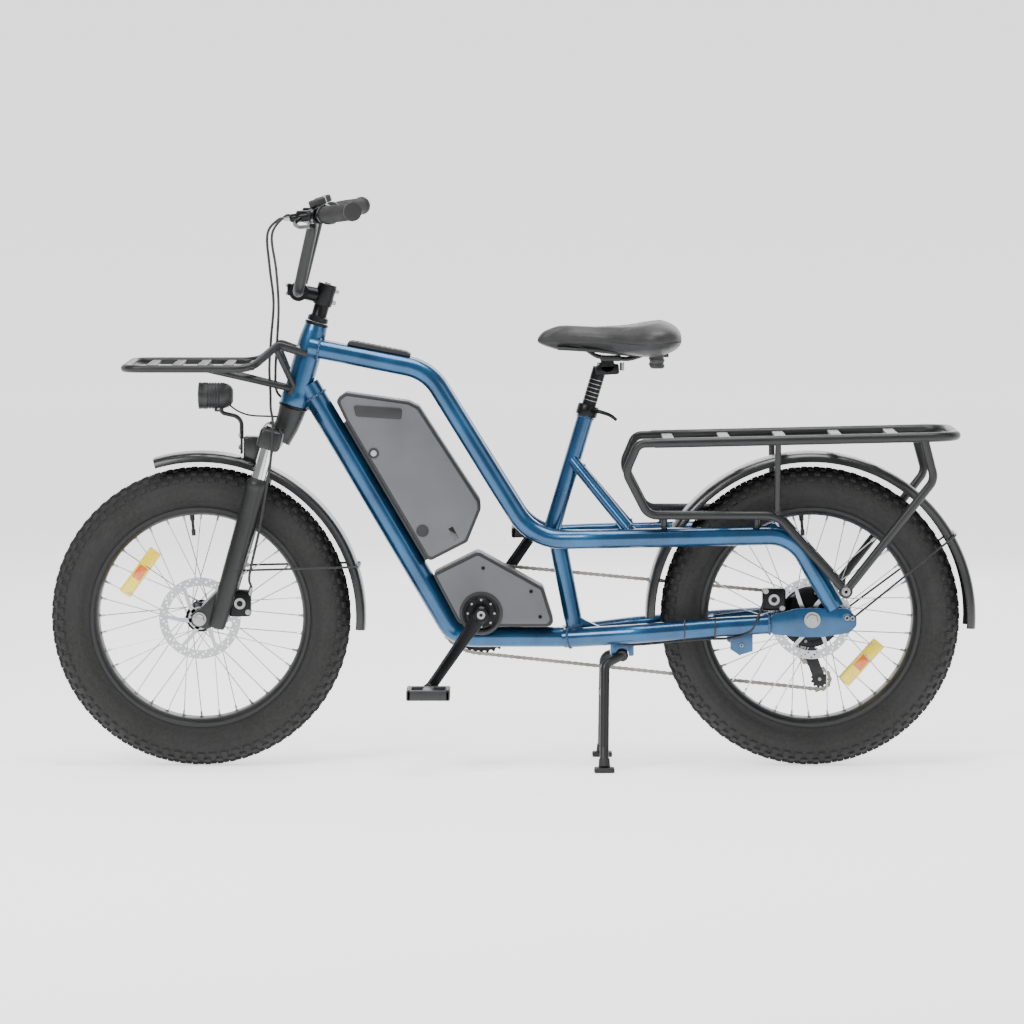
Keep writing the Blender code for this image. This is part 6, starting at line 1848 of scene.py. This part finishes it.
def makeDerailleur():
    look = driveLook
    guide, tension = rear(*look["guide"]), rear(*look["tension"])
    y = look["chainY"]
    cage = bmesh.new()
    for plateY, wall in ((y + 0.0058, 0.0016), (y - 0.0058, 0.0014)):
        way = (tension - guide).normalized()
        beside = Vector((-way.z, 0, way.x))
        outline = []
        for centre, first in ((guide, 0), (tension, 180)):
            for step in range(9):
                angle = math.radians(first - 22.5 * step)
                outline.append(centre + 0.0115 * (math.cos(angle) * beside - math.sin(angle) * way))
        plate(cage, outline, plateY - wall / 2, plateY + wall / 2, 0.0004)
    knuckle = smoothRoute([guide + across * (y + 0.0075), rear(-0.012, -0.066, 0.0775),
                           rear(-0.006, -0.05, 0.079), rear(0.004, -0.04, 0.0815)], 5)
    sweep(cage, knuckle, [0.0095, 0.0115, 0.013, 0.0138, 0.014, 0.014, 0.0135, 0.0128, 0.0118, 0.0108, 0.01,
                          0.0094, 0.0088, 0.0082, 0.0078, 0.0074], 24)
    addPiece("derailleur", cage, "satinBlackPowderCoat", "frame", "derailleur")
    wheels = []
    for index, centre in enumerate((guide, tension)):
        pulley = toothed(f"pulley{index}", look["pulley"] - 0.003, y - 0.0011, y + 0.0011, bore=0.0035)
        pulley.data.materials.clear()
        pulley.data.materials.append(finish["grainedBlackNylon"])
        for face in pulley.data.polygons:
            face.material_index = 0
        wheels.append(moveMesh(pulley, centre))
    settle(join("derailleurPulleys", *wheels), "frame", "black_metal")
    bolts = bmesh.new()
    for centre in (guide, tension):
        socketBolt(bolts, centre + across * (y + 0.0064), across, 0.008, 0.0022)
        sweep(bolts, [centre + across * (y - 0.0062), centre + across * (y + 0.0062)], 0.003, 14)
    socketBolt(bolts, rear(-0.01, -0.062, 0.0905), across, 0.0095, 0.0015)
    addPiece("derailleurBolts", bolts, "zincPlatedSteel", "frame")


def crankEnd(side):
    angle = math.radians(driveLook["crankAngle"])
    return crankAxle + side * driveLook["crankLength"] * Vector((math.sin(angle), 0, math.cos(angle)))


def makeCranks():
    look = driveLook
    for word, side in sides.items():
        end = crankEnd(side)
        start = crankAxle + across * side * 0.0815
        way = (end - crankAxle).normalized()
        beside = across.cross(way)
        arm = bmesh.new()
        stations = [(0.0, 0.0, 0.015), (0.02, 0.0, 0.014), (0.0534, 0.0, 0.0122), (0.1, 0.0068, 0.0112),
                    (0.15, 0.0142, 0.0105), (0.178, 0.018, 0.0108)]
        rings = []
        for distance, flare, halfWide in stations:
            centre = start + way * distance + across * side * flare
            ring = []
            for step in range(20):
                angle = turn * step / 20
                a, b = math.cos(angle), math.sin(angle)
                ring.append(arm.verts.new(centre + beside * math.copysign(abs(a) ** 0.6, a) * halfWide
                                          + across * math.copysign(abs(b) ** 0.6, b) * 0.0065))
            rings.append(ring)
        bridge(arm, rings)
        tip = end + across * side * 0.0995
        rod(arm, start - across * 0.0095, start + across * 0.0095, 0.017, 32)
        rod(arm, tip - across * 0.0065, tip + across * 0.0065, 0.013, 28)
        if side > 0:
            sweep(arm, [crankAxle - across * 0.0705, crankAxle + across * 0.0795], 0.0085, 24)
        piece = makePiece(f"{word}CrankArm", arm, "blackAnodisedAluminium", 40)
        if side < 0:
            settle(piece, "crankset", "black_metal", "left_crank")
            continue
        y = look["chainY"]
        teeth = toothed("ring", look["chainRing"] - 0.0005, y - 0.0012, y + 0.0012, bore=0.06)
        teeth.data.materials.clear()
        teeth.data.materials.append(finish["blackAnodisedAluminium"])
        for face in teeth.data.polygons:
            face.material_index = 0
        spider = bmesh.new()
        rings = []
        for radius, shift, halfWide in ((0.012, 0.073, 0.01), (0.034, 0.07, 0.008), (0.054, 0.062, 0.0065),
                                        (0.0635, 0.059, 0.0065)):
            rings.append([spider.verts.new(Vector((radius, shift + b, a)))
                          for a, b in ((-halfWide, -0.0022), (halfWide, -0.0022), (halfWide, 0.0022),
                                       (-halfWide, 0.0022))])
        bridge(spider, rings)
        socketBolt(spider, Vector((0.062, 0.061, 0)), across, 0.009, 0.0018)
        arms = ringPiece("spider", makePiece("arm", spider, "blackAnodisedAluminium"), 5, Vector(),
                         "blackAnodisedAluminium")
        settle(join("rightCrankAndRing", piece, moveMesh(join("ringAndSpider", teeth, arms), crankAxle)),
               "crankset", "black_metal", "right_crank")
    caps = bmesh.new()
    for side in sides.values():
        at = crankAxle + across * side * 0.0905
        spin(caps, [(0.0035, -0.001), (0.0085, -0.001), (0.008, 0.0008), (0.0035, 0.0008)], at, 28,
             axis=across * side)
        sweep(caps, [at - across * side * 0.002, at - across * side * 0.001], 0.006, 8)
    addPiece("crankBolts", caps, "zincPlatedSteel", "crankset")


def makePedals():
    length, depth, thick = 0.095, 0.085, 0.024
    for word, side in sides.items():
        end = crankEnd(side)
        inner = 0.107
        centre = end + across * side * (inner + 0.012 + length / 2)
        shape = bmesh.new()
        for dx in (-1, 1):
            roundBlock(shape, centre + Vector((dx * (depth / 2 - 0.005), 0, 0)), (0.01, length, thick * 0.84),
                       0.003)
        for dy in (-1, 1):
            roundBlock(shape, centre + across * dy * (length / 2 - 0.006), (depth, 0.012, thick * 0.84),
                       0.003)
        roundBlock(shape, centre, (0.024, length - 0.004, thick * 0.72), 0.004)
        rod(shape, end + across * side * (inner + 0.0005), centre - across * side * 0.02, 0.008, 20)
        addPiece(f"{word}Pedal", shape, "grainedBlackNylon", f"{word}_pedal_body", f"{word}_pedal")
        grips = bmesh.new()
        for dx in (-0.038, 0.038):
            for dy in (-0.032, -0.011, 0.011, 0.032):
                for face in (-1, 1):
                    at = centre + Vector((dx, dy, face * thick * 0.4))
                    sweep(grips, [at, at + upward * face * 0.0022], [0.002, 0.0013], 8)
        rod(grips, end + across * side * 0.1055, end + across * side * (inner + 0.0035), 0.0068, 6)
        addPiece(f"{word}PedalPins", grips, "zincPlatedSteel", f"{word}_pedal_body")
        reflectors = bmesh.new()
        for dx in (-1, 1):
            roundBlock(reflectors, centre + Vector((dx * (depth / 2 - 0.0002), 0, 0)), (0.0016, 0.046, 0.011),
                       0.0006)
        addPiece(f"{word}PedalReflectors", reflectors, "amberReflector", f"{word}_pedal_body")


makeChain()
makeDerailleur()
makeCranks()
makePedals()
print("drive ready")


# Stand

standLook = {"behindCrank": 0.277, "height": 0.222, "half": 0.066, "spread": 0.135, "sweep": 0.036,
             "cross": 0.012, "leg": 0.009, "brace": 0.007, "braceDrop": 0.084, "bend": 0.02}


def makeStand():
    look = standLook
    half, spread, height, swept = look["half"], look["spread"], look["height"], look["sweep"]
    pivot = Vector((crankAxle.x + look["behindCrank"], 0, height))
    shape = bmesh.new()
    rod(shape, pivot - across * half, pivot + across * half, look["cross"], 32)
    feet = bmesh.new()
    for side in sides.values():
        route = rounded([pivot + across * side * (half - 0.008),
                         pivot + Vector((-swept + 0.002, side * (half + 0.012), -0.016)),
                         pivot + Vector((-swept, side * (spread - 0.018), 0.045 - height)),
                         pivot + Vector((-swept, side * spread, 0.0085 - height))], [look["bend"]] * 2, 8)
        sweep(shape, route, look["leg"], 24)
        foot = pivot + Vector((-swept, side * (spread + 0.002), 0.005 - height))
        roundBlock(feet, foot, (0.04, 0.034, 0.01), 0.003)
        sweep(feet, [route[-1], route[-1] + (route[-2] - route[-1]).normalized() * 0.018],
              [look["leg"] + 0.0028, look["leg"] + 0.0018], 24)
    brace = pivot - Vector((swept - 0.0005, 0, look["braceDrop"]))
    rod(shape, brace - across * 0.088, brace + across * 0.088, look["brace"], 20)
    addPiece("centreStand", shape, "satinBlackPowderCoat", "stand", "center_stand")
    addPiece("standFeet", feet, "gripRubber", "stand", slot="black_metal")
    welds = bmesh.new()
    for side in sides.values():
        weldRing(welds, brace + across * side * 0.0855, across, look["brace"] + 0.0004, 0.0016, 14)
    addPiece("standWelds", welds, "satinBlackPowderCoat", "stand")


makeStand()
print("stand ready")
